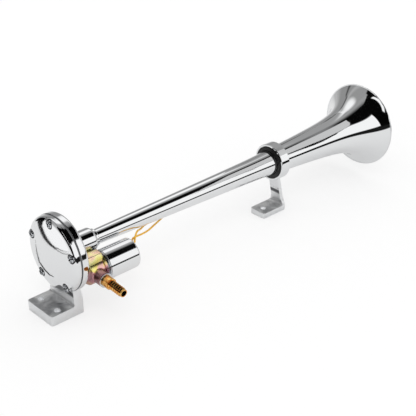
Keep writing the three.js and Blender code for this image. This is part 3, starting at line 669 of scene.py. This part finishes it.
# %% Housing: turned head and collar
PORT = (0, -19.2, 51.2)
HEAD_RADIUS, COLLAR_RADIUS, HEAD_TURNS = 37.5, 11.5, 192
head_corners = [(8, 7.5, 0), (8, 12.5, 0.3), (11.9, 12.5, 0.3), (11.9, 26.5, 0.3), (7.3, 26.5, 0.3),
                (7.3, HEAD_RADIUS, 0.4), (14.6, HEAD_RADIUS, 3), (16.4, 20, 4), (18.4, COLLAR_RADIUS, 3),
                (COLLAR_X, COLLAR_RADIUS, 3.2), (COLLAR_X, 7.5, 0.3)]
housing = turned("housing_casting", head_corners, AXIS, count=HEAD_TURNS)
port_boss = turned("boss", [(12, 0, 0), (12, 8, 0), (20, 8, 0.5), (20, 0, 0)], PORT, closed=False)


# %% Housing: wall and foot
def rounded_plan(x0, x1, half_width, corner, steps=8):
    """Outline of a rectangle with round corners: at each corner a quarter circle about a centre
    that lies one corner radius inside both sides."""
    quarter = np.linspace(0, np.pi / 2, steps)
    centres = [(x1 - corner, half_width - corner), (x0 + corner, half_width - corner),
               (x0 + corner, corner - half_width), (x1 - corner, corner - half_width)]
    starts = np.arange(4) * np.pi / 2
    return np.vstack([np.array(c) + corner * np.column_stack([np.cos(s + quarter), np.sin(s + quarter)])
                      for c, s in zip(centres, starts)])


def inner_fillet(x, z, radius, steps=7):
    """The hollow quarter circle between a wall and a foot: from (x + r, z) round to (x, z - r)."""
    turn = np.linspace(0, np.pi / 2, steps)
    return np.column_stack([x + radius * np.cos(turn), z - radius * np.sin(turn)])


FOOT_END, FOOT_SIDE, FOOT_TOP, WALL_TOP = 18, 19.5, 10, 29
side_view = np.vstack([
    [(-FOOT_END, 0), (FOOT_END, 0), (FOOT_END, FOOT_TOP), (15.4, WALL_TOP), (7.3, WALL_TOP)],
    inner_fillet(5.8, 11.5, 1.5), [(-FOOT_END, FOOT_TOP)]])
front_view = [(-FOOT_SIDE, 0), (FOOT_SIDE, 0), (FOOT_SIDE, FOOT_TOP), (17.7, WALL_TOP), (-17.7, WALL_TOP),
              (-FOOT_SIDE, FOOT_TOP)]
foot = prism(side_view, -21, 21, "y")
combine(foot, "INTERSECT", prism(front_view, -30, 30, "x"),
        prism(rounded_plan(-FOOT_END, FOOT_END, FOOT_SIDE, 2.5), -1, 40, "z"))
soften(foot, 0.7)

# %% Housing: join and drill
REAR_BOLTS, REAR_BOLT_HOLE = ((-7.5, -13), (-7.5, 13)), 3.25
combine(housing, "UNION", port_boss, foot)
shanks = [pin(SHANK_HOLE, 6, 12.4, (0, y, z), count=32) for y, z in screw_spots]
bolt_holes = [pin(REAR_BOLT_HOLE, -1, 11, (x, y, 0), "z") for x, y in REAR_BOLTS]
combine(housing, "DIFFERENCE", pin(5.1, 10.9, 21, PORT), *shanks, *bolt_holes)
place_piece(housing, cast_chrome, "satin_chrome", "horn_housing")

# %% Gasket: pressed fibre ring, dark grey and matt, with a relief in which the diaphragm can bend
fibre = mottled_finish("gasket_fibre", 0.6, 5.0, ("#47484a", "#6f7072"), Roughness=0.85)
gasket_corners = [(6.4, 25, 0.1), (6.4, 29, 0), (5.95, 29, 0.1), (5.95, 36.7, 0.1), (7.25, 36.7, 0.1),
                  (7.25, 25, 0.1)]
gasket = turned("gasket_ring", gasket_corners, AXIS, count=96)
combine(gasket, "DIFFERENCE", *[pin(SHANK_HOLE, 5, 8, (0, y, z), count=24) for y, z in screw_spots])
place_piece(gasket, fibre, "gasket_fibre", "cover_gasket")

# %% [markdown]
# ## The valve
#
# The solenoid valve hangs on the housing's port. Its body is steel with yellow-passivated zinc, which
# shimmers from straw to pink and dark red, because its skin is a thin film of uneven thickness. The
# colours of such a film could be worked out from its thickness, but a ramp of given colours is simpler.
# The film drained before it set, so its thickness follows the height and wanders a little. The body
# is a hexagon bar, a round core and a side boss run into one.

# %% Yellow zinc: thin passivation film, whose tint wanders with the film's thickness
FILM = {"size": 11, "detail": 2.0, "distortion": 0.6}
yellow_zinc, tree, where = new_finish("yellow_zinc")
spot = add(tree, "SeparateXYZ", {"Vector": where})
drained = add(tree, "MapRange", {"Value": spot.outputs["Z"], "From Min": 0.026, "From Max": 0.062,
                                 "To Min": 0.0, "To Max": 1.0})
patches = wandering(tree, where, levels=(-0.12, 0.12), ends=MIDDLE, **FILM)
thickness = add(tree, "Math", {0: drained.outputs[0], 1: patches}, operation="ADD")
tint = add(tree, "ValToRGB", {"Fac": thickness.outputs[0]})
ramp = tint.color_ramp
ramp.elements[0].color = linear("#c9a596")
ramp.elements[1].color = linear("#f0b9a8")
for position, code in ((0.16, "#cfa58c"), (0.30, "#b98388"), (0.42, "#dba4ab"), (0.54, "#f2bcbb"),
                       (0.64, "#f8e680"), (0.80, "#fffaae"), (0.90, "#f8d3b8")):
    ramp.elements.new(position).color = linear(code)
on_boss = add(tree, "MapRange", {"Value": spot.outputs["Y"], "From Min": -0.0305, "From Max": -0.0325})
boss_tint = mottled(tree, where, tones=("#7d5563", "#b98d84"), ends=(0.35, 0.65), **FILM)
both = add(tree, "Mix", {0: on_boss.outputs[0], 6: tint.outputs["Color"], 7: boss_tint}, data_type="RGBA")
zinc = add(tree, "BsdfPrincipled", {"Base Color": both.outputs[2], "Metallic": 1.0, "Roughness": 0.24})
show(tree, zinc)

# %% Valve body
VALVE = (0, -19.2, 40.6)
BARB = (28.7, -19.2, 40.6)
HEXAGON_SIZE, HEXAGON_TURN = 13, np.radians(8)
core_corners = [(21.3, 0, 0), (21.3, 12.3, 1.2), (36, 12.3, 0), (36, 13.6, 0.3), (38.6, 13.6, 0.3),
                (38.6, 6, 0.2), (33.6, 6, 0.2), (33.6, 3.1, 0), (36, 3.1, 0), (36, 0, 0)]
core = turned("valve_casting", core_corners, VALVE, closed=False)
angles = np.arange(6) * np.pi / 3 + HEXAGON_TURN
corner_reach = HEXAGON_SIZE / 2 / np.cos(np.pi / 6)
hexagon_outline = np.column_stack([PORT[1] + corner_reach * np.cos(angles),
                                   PORT[2] + corner_reach * np.sin(angles)])
hexagon = prism(hexagon_outline, 21.3, 37.3, "x")
soften(hexagon, 0.5)
spigot = pin(4.8, 13.3, 22.3, PORT)
side_corners = [(0, 0, 0), (0, 7.1, 0), (20.6, 7.1, 0.4), (20.6, 0, 0)]
side_boss = turned("boss", side_corners, BARB, closed=False, aside=True)
combine(core, "UNION", hexagon, spigot, side_boss)
combine(core, "DIFFERENCE", pin(2.6, 12.3, 36, PORT), pin(4.4, 8.6, 21.6, BARB, "-y"),
        pin(2, 28.7, 37, VALVE), pin(2, 0, 12, BARB, "-y"))
place_piece(core, yellow_zinc, "yellow_zinc", "valve_body")

# %% Yoke plate, washer and can
GROMMET = (0, -17.2, 48.3)
yoke = turned("yoke_disc", ring_corners(39.8, 40.7, 5, 14.5, (0, 0.2, 0.2, 0)), VALVE)
place_piece(yoke, bright_steel, "bright_steel", "yoke_plate")
can_corners = [(41, 14.8, 0.25), (75, 14.8, 2.2), (75, 0, 0), (74.2, 0, 0), (74.2, 14, 1.4), (41, 14, 0.1)]
can = turned("can_shell", can_corners, VALVE)
combine(can, "DIFFERENCE", pin(3, 72, 77, GROMMET))
place_piece(can, drawn_chrome, "polished_chrome", "solenoid_can")
washer = turned("sealing_washer", ring_corners(20.9, 21.7, 4.4, 7.1, (0.1, 0.2, 0.2, 0.1)), BARB, aside=True)
place_piece(washer, bright_steel, "bright_steel", "barb_washer")

# %% Barb brass: freshly turned and bright, gold with a copper cast in patches
# Shade is painted into the grooves as a darker brown; the grooves are the places nearer to the barb's axis
# than the ribs' tops.
# A point's distance from the axis is the length of the cross product with the axis' direction.
brass, tree, where = new_finish("turned_brass")
off_axis = add(tree, "VectorMath", {0: where, 1: tuple(c * MM for c in BARB)}, operation="SUBTRACT")
direction = (0.0, -float(np.cos(TILT)), -float(np.sin(TILT)))
crossed = add(tree, "VectorMath", {0: off_axis.outputs["Vector"], 1: direction}, operation="CROSS_PRODUCT")
out = add(tree, "VectorMath", {0: crossed.outputs["Vector"]}, operation="LENGTH")
groove = add(tree, "MapRange", {"Value": out.outputs["Value"], "From Min": 0.0036, "From Max": 0.0042},
             interpolation_type="SMOOTHSTEP")
spot = add(tree, "SeparateXYZ", {"Vector": where})
at_tip = add(tree, "MapRange", {"Value": spot.outputs["Y"], "From Min": -0.0635, "From Max": -0.0645})
unshaded = add(tree, "Math", {0: groove.outputs["Result"], 1: at_tip.outputs["Result"]}, operation="MAXIMUM")
bright = mottled(tree, where, 3.5, 3.0, ("#e08a3c", "#fbcf7c"), (0.35, 0.65))
# painted shade: dark brown in the grooves, kept off the tip
tint = add(tree, "Mix", {0: unshaded.outputs[0], 6: linear("#a0521e"), 7: bright}, data_type="RGBA")
metal = add(tree, "BsdfPrincipled", {"Base Color": tint.outputs[2], "Metallic": 1.0,
                                     "Roughness": wandering(tree, where, 3.5, 3.0, (0.05, 0.2))})
show(tree, metal)

# %% Barb
RIBS, RIBS_START, RIB_PITCH = 6, 29, 2.7
barb_corners = [(13, 2.8, 0), (13, 4.1, 0.3), (22, 4.1, 0), (22, 5.5, 0.4), (RIBS_START, 5.5, 0.4)]
for rib in range(RIBS):
    start = RIBS_START + RIB_PITCH * rib
    barb_corners += [(start + 0.2, 3.5, 0.12), (start + 0.5, 4.4, 0.12), (start + 0.8, 4.4, 0.12)]
barb_corners += [(45.2, 3.7, 0.3), (46.6, 3.8, 0.4), (46.6, 2.8, 0.2)]
barb = turned("barb_nipple", barb_corners, BARB, aside=True, count=96)
place_piece(barb, brass, "barb_brass", "hose_barb")

# %% [markdown]
# ## Rubber
#
# The bush that holds the trumpet in its bracket, the grommet and the seals are black rubber: matt,
# with a faint bloom. A bump could give it a grain, but from this far none shows, so two tones of
# near black are enough.

# %% Black rubber
rubber = mottled_finish("black_rubber", 3, 4.0, ("#050506", "#131314"), Roughness=0.5, IOR=1.5)
grommet_corners = [(72.3, 0, 0), (72.3, 3.9, 0.3), (73.9, 3.9, 0.3), (73.9, 2.7, 0), (75.3, 2.7, 0),
                   (75.3, 3.9, 0.2), (76.7, 3.9, 0.6), (76.7, 0, 0)]
grommet = turned("grommet", grommet_corners, GROMMET, closed=False, count=64)
place_piece(grommet, rubber, "black_rubber", "lead_grommet")

# %% Bush: its bore follows the taper of the trumpet
BUSH_START, BUSH_END, BUSH_RADIUS = 278.4, 291.7, 17.7
bush_corners = [(BUSH_START, bore_round_trumpet(BUSH_START), 0.2), (BUSH_START, BUSH_RADIUS, 0.5),
                (BUSH_END, BUSH_RADIUS, 0.5), (BUSH_END, bore_round_trumpet(BUSH_END), 0.2)]
bush = turned("bush_ring", bush_corners, AXIS)
place_piece(bush, rubber, "black_rubber", "bracket_bush")

# %% [markdown]
# ## The front bracket
#
# A ring round the bush, a leaning stem and a foot with one hole, again a chromed casting. One outline
# carried across would do for a straight stem. This one tapers in both views, so it is a block cut
# from three sides, as the housing's foot is, and then joined to the turned ring.

# %% Front bracket
RING_START, RING_END, RING_BORE = 279.3, 290.8, 18
STEM_BACK, STEM_FRONT, STEM_SIDE, STEM_FOOT_TOP, STEM_TOP = 263.5, 298.1, 10.5, 6, 41
FRONT_BOLT, FRONT_BOLT_HOLE = (272.8, 0), 3.1
RING_TURNS = 160
collar_corners = ring_corners(RING_START, RING_END, RING_BORE, 20, (0.2, 0.5, 0.5, 0.2))
ring = turned("bracket_casting", collar_corners, AXIS, count=RING_TURNS)
side_view = np.vstack([[(STEM_BACK, 0), (STEM_FRONT, 0), (STEM_FRONT, STEM_FOOT_TOP), (RING_END, STEM_TOP),
                        (286.2, STEM_TOP)], inner_fillet(291.5, 8, 2), [(STEM_BACK, STEM_FOOT_TOP)]])
right_side = np.array([(STEM_SIDE, 0), (STEM_SIDE, STEM_FOOT_TOP), (8.6, 8.25), (6.7, 15), (6.2, STEM_TOP)])
left_side = right_side[::-1] * (-1, 1)
front_view = np.vstack([left_side[-1:], right_side, left_side[:-1]])
stem = prism(side_view, -12, 12, "y")
combine(stem, "INTERSECT", prism(front_view, 200, 330, "x"),
        prism(rounded_plan(STEM_BACK, STEM_FRONT, STEM_SIDE, 3), -1, 60, "z"))
soften(stem, 0.5)
combine(ring, "UNION", stem)
combine(ring, "DIFFERENCE", pin(RING_BORE, 270, 300, AXIS, count=RING_TURNS),
        pin(FRONT_BOLT_HOLE, -1, 7, (*FRONT_BOLT, 0), "z"))
place_piece(ring, cast_chrome, "satin_chrome", "front_bracket", body="front_bracket")

# %% [markdown]
# ## Inner pieces
#
# What is inside the head and the can could be modelled anew, but no view shows it. So it keeps its
# CAD shape and only gets the finish of the real part, for those who take the model apart.

# %% Inner finishes: natural nylon for the bobbin, and copper wire wound turn beside turn
WIRE_PITCH = 0.0004
nylon, tree, where = new_finish("natural_nylon")
dull = wandering(tree, where, 5, 2.0, (0.4, 0.55))
show(tree, add(tree, "BsdfPrincipled", {"Base Color": linear("#e6e2d6"), "Roughness": dull, "IOR": 1.53}))
enamelled, tree, where = new_finish("enamelled_copper")
turns = add(tree, "TexWave", {"Vector": where, "Scale": 1 / WIRE_PITCH / 6.28, "Distortion": 0.0},
            bands_direction="X")
ridge = add(tree, "Bump", {"Height": turns.outputs["Fac"], "Distance": 0.0001, "Strength": 0.6})
copper = add(tree, "BsdfPrincipled", {"Base Color": linear("#b4602f"), "Metallic": 1.0, "Roughness": 0.3,
                                      "Normal": ridge.outputs["Normal"]})
show(tree, copper)

# %% Dress the inner pieces
INNER = {"diaphragm": bright_steel, "sound_nozzle": brass, "port_seal": fibre, "chamber_ring": rubber,
         "guide_tube": bright_steel, "plunger": bright_steel, "plunger_seal": rubber,
         "plunger_spring": bright_steel, "fixed_core": bright_steel, "coil_bobbin": nylon,
         "coil_winding": enamelled}
for name, material in INNER.items():
    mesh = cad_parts[name].data
    mesh.materials.clear()
    mesh.materials.append(material)
print(len(INNER), "inner pieces dressed")

# %% [markdown]
# ## The studio
#
# A mirror shows its room. The room here is a pale floor, pale walls behind the horn, a large white
# softbox to the right of the camera, black cloth beside it and overhead, and a grey ceiling with a
# round glow at the back. The camera and the matt pieces see only even white light: the room is drawn
# for glossy rays alone.

# %% Floor: to the camera it is lifted part of the way to white, which leaves a faint shadow
# Glossy rays see it pale round the horn, black far in front of it and greyer far behind it.
FLOOR_HALF, FLOOR_LIFT = 6.0, 0.6
FLOOR_DARK, FLOOR_NEAR, FLOOR_FAR = 0.01, 0.81, 0.5
floor_mesh = bpy.data.meshes.new("floor")
corners = FLOOR_HALF * np.array([(-1, -1, 0), (1, -1, 0), (1, 1, 0), (-1, 1, 0)])
floor_mesh.from_pydata(corners.tolist(), [], [(0, 1, 2, 3)])
floor = bpy.data.objects.new("floor", floor_mesh)
bpy.context.scene.collection.objects.link(floor)
paper, tree, where = new_finish("paper_floor")
rays = add(tree, "LightPath")
spot = add(tree, "SeparateXYZ", {"Vector": where})
near = add(tree, "MapRange", {"Value": spot.outputs["Y"], "From Min": -0.42, "From Max": -0.33},
           interpolation_type="SMOOTHSTEP")
far = add(tree, "MapRange", {"Value": spot.outputs["Y"], "From Min": 0.15, "From Max": 1.0,
                             "To Min": FLOOR_NEAR, "To Max": FLOOR_FAR}, interpolation_type="SMOOTHSTEP")
seen = add(tree, "Mix", {0: near.outputs["Result"], 2: FLOOR_DARK, 3: far.outputs["Result"]})
shown = add(tree, "Mix", {0: rays.outputs["Is Glossy Ray"], 2: 1.0, 3: seen.outputs[0]})
matt = add(tree, "BsdfDiffuse", {"Color": shown.outputs[0]})
white = add(tree, "Emission", {"Color": WHITE, "Strength": 1.0})
lift = add(tree, "Math", {0: rays.outputs["Is Camera Ray"], 1: FLOOR_LIFT}, operation="MULTIPLY")
show(tree, add(tree, "MixShader", {0: lift.outputs[0], 1: matt.outputs[0], 2: white.outputs[0]}))
floor.data.materials.append(paper)

# %% [markdown]
# ## Reflector cards
#
# A photographer lays white and black cards round a chromed piece to draw its form. The cover mirrors
# the floor behind the horn, and the bell mirrors the space above it, so the cards are flat outlines
# at those places. Only glossy rays see them.

# %% Making a card
CLOTH = 0.1


def growing(tree, where, x_ends, y_ends):
    """A share from 0 to 1 that grows softly between two places in mm along X, and between two along
    Y. The larger of both counts."""
    along = add(tree, "SeparateXYZ", {"Vector": where})
    shares = [add(tree, "MapRange", {"Value": along.outputs[axis], "From Min": start * MM,
                                     "From Max": end * MM}, interpolation_type="SMOOTHSTEP").outputs[0]
              for axis, (start, end) in (("X", x_ends), ("Y", y_ends))]
    return add(tree, "Math", {0: shares[0], 1: shares[1]}, operation="MAXIMUM").outputs[0]


def card(name, outline, height, level, fade=None, bright=None):
    """A card from an outline in mm, which glows at a level between 0 for black and 1 for white. It
    lies at a height, from points (x, y), or stands at a y if height is ("y", value), from points
    (x, z). With a fade it grows from clear to full, and with bright from dark cloth to its level."""
    outline = np.array(outline, float)
    upright = isinstance(height, tuple)
    third = np.full(len(outline), height[1] if upright else height)
    order = [0, 2, 1] if upright else [0, 1, 2]
    points = np.column_stack([outline, third])[:, order] * MM
    mesh = bpy.data.meshes.new(name)
    mesh.from_pydata(points.tolist(), [], [list(range(len(points)))])
    sheet = bpy.data.objects.new(name, mesh)
    bpy.context.scene.collection.objects.link(sheet)
    glow, tree, where = new_finish(name)
    strength = grey(level)
    if bright:
        grown = add(tree, "Mix", {0: growing(tree, where, *bright), 2: grey(CLOTH), 3: strength})
        strength = grown.outputs[0]
    surface = add(tree, "Emission", {"Color": WHITE, "Strength": strength})
    if fade:
        clear = add(tree, "BsdfTransparent", {"Color": WHITE})
        surface = add(tree, "MixShader", {0: growing(tree, where, *fade), 1: clear.outputs[0],
                                          2: surface.outputs[0]})
    show(tree, surface)
    mesh.materials.append(glow)
    sheet.visible_camera = False
    sheet.visible_diffuse = False
    sheet.visible_transmission = False
    sheet.visible_shadow = False


# %% Cards for the cover and the bell: name, height, level and outline
CARDS = [
    ("white_card", 0.5, 1.0,
     [(-100.6, 162.5), (-83.8, 145.3), (-77.5, 130.8), (-72.4, 116.6), (-69.3, 101.8), (-69.3, 91.3),
      (-71.0, 83.4), (-74.0, 77.1), (-78.6, 70.8), (-89.3, 67.7), (-107.8, 91.5), (-116.1, 114.4),
      (-121.3, 140.0), (-124.0, 164.6), (-118.3, 180.0)]),
    ("black_card", 0.7, 0.03,
     [(-91, 171.2), (-78, 147.8), (-71, 131.5), (-66.4, 116.8), (-64.6, 103.4), (-65.2, 92.7), (-66.4, 86.5),
      (-69.3, 91.3), (-69.3, 101.8), (-72.4, 116.6), (-77.5, 130.8), (-83.8, 145.3), (-100.6, 162.5),
      (-121.9, 181.8), (-108.2, 190.3)]),
    ("black_runner", 0.7, 0.03,
     [(-121.9, 181.8), (-108.2, 190.3), (-91, 171.2), (-90, 240), (-85, 320), (-110, 440), (-300, 440),
      (-200, 290)]),
    ("black_flag", ("y", 440), 0.03, [(-300, 0), (-110, 0), (-60, 100), (-120, 240), (-300, 200)]),
    ("grey_strip", 0.9, 0.3,
     [(-68.5, 90.8), (-70.5, 83.1), (-74.0, 77.3), (-77.7, 74.0), (-78.3, 74.5), (-74.9, 78.1), (-71.8, 84.1),
      (-70.2, 91.9)]),
    ("grey_strip_2", 0.9, 0.45,
     [(-65.8, 87.5), (-66.0, 84.4), (-67.4, 76.2), (-70.5, 72.2), (-74.3, 69.4), (-79.6, 67.6), (-80.5, 68.7),
      (-75.3, 70.6), (-71.6, 73.3), (-68.7, 77.1), (-67.5, 85.2), (-67.3, 88.3)]),
    ("dark_strip", 0.9, 0.14,
     [(-54.6, 121.8), (-47.0, 110.3), (-40.3, 98.8), (-31.0, 79.9), (-27.4, 63.8), (-26.1, 51.7),
      (-28.2, 44.9), (-28.8, 45.6), (-27.7, 52.4), (-29.2, 64.5), (-32.6, 80.1), (-41.5, 99.0),
      (-47.9, 110.5), (-54.9, 121.9)]),
    ("overhead_black", 602, 0.02,
     [(600, -60), (600, -351), (677, -533), (844, -616), (977, -723), (960, -180), (760, -140), (700, -120),
      (660, -70)]),
    ("overhead_gap", 602, 0.02,
     [(677, -533), (844, -616), (977, -723), (1500, -1290), (1450, -1440), (1386, -1364), (1112, -987),
      (993, -860), (900, -700), (760, -590), (665, -560)]),
    ("overhead_grey", 600, 0.8,
     [(609, -124), (609, -351), (640, -450), (677, -533), (844, -616), (977, -723), (960, -180),
      (750, -110)]),
    ("overhead_line", 599, 0.35,
     [(1120, 890), (1140, 846), (1122, 778), (1090, 760), (1040, 755), (975, 776), (873, 662), (937, 641),
      (984, 647), (1014, 664), (1026, 732), (1012, 775)]),
]
for name, height, level, outline in CARDS:
    card(name, outline, height, level)

# %% A wide hazy card over the bell, and white spots for the walls of the bolt holes
HAZE_OUTLINE = [(-38, 280), (105, 91), (230, -7), (452, -54), (614, -75), (660, -85), (700, -130),
                (760, -150), (960, -180), (1700, -180), (1500, 1200), (954, 834), (763, 505), (650, 300)]
card("overhead_haze", HAZE_OUTLINE, 601, 0.62, fade=((610, 760), (250, 110)), bright=((670, 780), (-70, 95)))
HOLES = [("front", FRONT_BOLT, FRONT_BOLT_HOLE), ("left", REAR_BOLTS[1], REAR_BOLT_HOLE),
         ("right", REAR_BOLTS[0], REAR_BOLT_HOLE)]
turn = np.linspace(0, 2 * np.pi, 24, endpoint=False)
for place, (x, y), radius in HOLES:
    disc = np.column_stack([x + radius * np.cos(turn), y + radius * np.sin(turn)])
    card("floor_spot_" + place, disc, 0.1, 1.0)
print(len(CARDS) + 1 + len(HOLES), "cards")

# %% [markdown]
# ## The room
#
# Beyond the cards the mirrors show the world. Its colour is worked out from the direction of a ray:
# the azimuth runs from +Y towards +X, and the elevation up from the horizon. One patch after another
# is laid over an even grey, as a set is built up from walls, cloth and lamps.

# %% Directions in the world
world = bpy.data.worlds.new("studio")
bpy.context.scene.world = world
world.use_nodes = True
tree = world.node_tree
tree.nodes.clear()
rays = add(tree, "LightPath")
direction = add(tree, "TexCoord").outputs["Generated"]
ray = add(tree, "SeparateXYZ", {"Vector": direction})
TO_DEGREES = 180 / np.pi
turn = add(tree, "Math", {0: ray.outputs["X"], 1: ray.outputs["Y"]}, operation="ARCTAN2")
signed = add(tree, "Math", {0: turn.outputs[0], 1: TO_DEGREES}, operation="MULTIPLY")
azimuth = add(tree, "Math", {0: signed.outputs[0], 1: 360.0}, operation="FLOORED_MODULO").outputs[0]
rise = add(tree, "Math", {0: ray.outputs["Z"], 1: 0.0}, operation="ARCSINE")
elevation = add(tree, "Math", {0: rise.outputs[0], 1: TO_DEGREES}, operation="MULTIPLY").outputs[0]


def bearing_past(start):
    """The azimuth counted on from a starting one, so that a window can cross north."""
    beyond = add(tree, "Math", {0: azimuth, 1: start}, operation="SUBTRACT")
    wrapped = add(tree, "Math", {0: beyond.outputs[0], 1: 360.0}, operation="FLOORED_MODULO")
    return add(tree, "Math", {0: wrapped.outputs[0], 1: start}, operation="ADD").outputs[0]


def window(value, low, high, soft_low, soft_high):
    """1 between low and high, 0 outside, with edges of the given softness in degrees."""
    slopes = [add(tree, "MapRange", {"Value": value, "From Min": start, "From Max": end},
                  interpolation_type="SMOOTHSTEP").outputs[0]
              for start, end in ((low - soft_low / 2, low + soft_low / 2),
                                 (high + soft_high / 2, high - soft_high / 2))]
    return add(tree, "Math", {0: slopes[0], 1: slopes[1]}, operation="MULTIPLY").outputs[0]


# %% Patches of the room
# name, azimuth from, to, elevation from, to, softness of these four edges, level on screen, and
# the degrees that the patch climbs for each degree of azimuth
ROOM = [
    ("pale wall behind", -60, 78, -20, 8, (12, 6, 6, 16), 0.72, 0),
    ("grey wall above it", -50, 78, 5, 33, (12, 6, 14, 6), 0.58, 0),
    ("dark line on its right", 0, 38, 29.5, 33.5, (8, 6, 4, 4), 0.3, 0.05),
    ("dark line on its left", -26, 2, 22.5, 26.5, (6, 8, 4, 4), 0.3, 0.15),
    ("black ceiling", 40, 292, 42, 100, (3, 3, 3, 3), 0.02, 0),
    ("bright band", 34, 84, 32, 60, (16, 10, 12, 10), 1.0, 0),
    ("ceiling at the back", 292, 394, 38, 100, (10, 10, 8, 10), 0.6, 0),
    ("white softbox", 112, 216, 3, 40, (1.5, 1.5, 1.5, 1.5), 1.0, 0),
    ("black cloth beside it", 216, 298, -12, 50, (1.5, 4, 1.5, 1.5), 0.02, 0),
    ("slanting softbox", 240, 274, 32.5, 38, (2, 2, 1.5, 1.5), 1.0, 0.71),
    ("dark horizon", 100, 230, -12, 3, (3, 3, 3, 3), 0.05, 0),
]
EVEN_GREY = 0.45
level = EVEN_GREY
for name, west, east, low, high, soft, bright, climb in ROOM:
    middle = (west + east) / 2
    bearing = bearing_past(middle - 180)
    height = elevation
    if climb:
        off_middle = add(tree, "Math", {0: bearing, 1: middle}, operation="SUBTRACT")
        climbed = add(tree, "Math", {0: off_middle.outputs[0], 1: climb}, operation="MULTIPLY")
        height = add(tree, "Math", {0: elevation, 1: climbed.outputs[0]}, operation="SUBTRACT").outputs[0]
    sides = window(bearing, west, east, *soft[:2])
    ends = window(height, low, high, *soft[2:])
    patch = add(tree, "Math", {0: sides, 1: ends}, operation="MULTIPLY")
    level = add(tree, "Mix", {0: patch.outputs[0], 2: level, 3: grey(bright)}).outputs[0]
    print("room:", name)

# %% A round glow in the ceiling: full within the inner angle of its middle, gone at the outer one
GLOW_AZIMUTH, GLOW_ELEVATION, GLOW_INNER, GLOW_OUTER = np.radians([14, 57, 4, 22])
towards_glow = (float(np.sin(GLOW_AZIMUTH) * np.cos(GLOW_ELEVATION)),
                float(np.cos(GLOW_AZIMUTH) * np.cos(GLOW_ELEVATION)),
                float(np.sin(GLOW_ELEVATION)))
along = add(tree, "VectorMath", {0: direction, 1: towards_glow}, operation="DOT_PRODUCT")
glow = add(tree, "MapRange", {"Value": along.outputs["Value"], "From Min": float(np.cos(GLOW_OUTER)),
                              "From Max": float(np.cos(GLOW_INNER))}, interpolation_type="SMOOTHSTEP")
level = add(tree, "Mix", {0: glow.outputs[0], 2: level, 3: 1.0}).outputs[0]

# %% What each kind of ray sees: the room for mirrors, pure white for the camera, even light for the rest
AMBIENT = 0.9
mirrored = add(tree, "Math", {0: rays.outputs["Is Glossy Ray"], 1: rays.outputs["Is Transmission Ray"]},
               operation="MAXIMUM")
room_light = add(tree, "Mix", {0: mirrored.outputs[0], 2: AMBIENT, 3: level}).outputs[0]
strength = add(tree, "Mix", {0: rays.outputs["Is Camera Ray"], 2: room_light, 3: 1.0}).outputs[0]
backdrop = add(tree, "Background", {"Color": WHITE, "Strength": strength})
add(tree, "OutputWorld", {"Surface": backdrop.outputs[0]})

# %% Key light: a wide soft sun for the matt pieces and the shadow, which mirrors don't see
KEY_STRENGTH, KEY_WIDTH = 0.45, np.radians(40)
key = bpy.data.objects.new("key_light", bpy.data.lights.new("key_light", "SUN"))
key.data.energy = KEY_STRENGTH
key.data.angle = KEY_WIDTH
key.rotation_euler = (np.radians(28), np.radians(-24), 0)
key.visible_glossy = False
bpy.context.scene.collection.objects.link(key)

# %% Colours on screen: the Standard view transform
bpy.context.scene.view_settings.view_transform = "Standard"
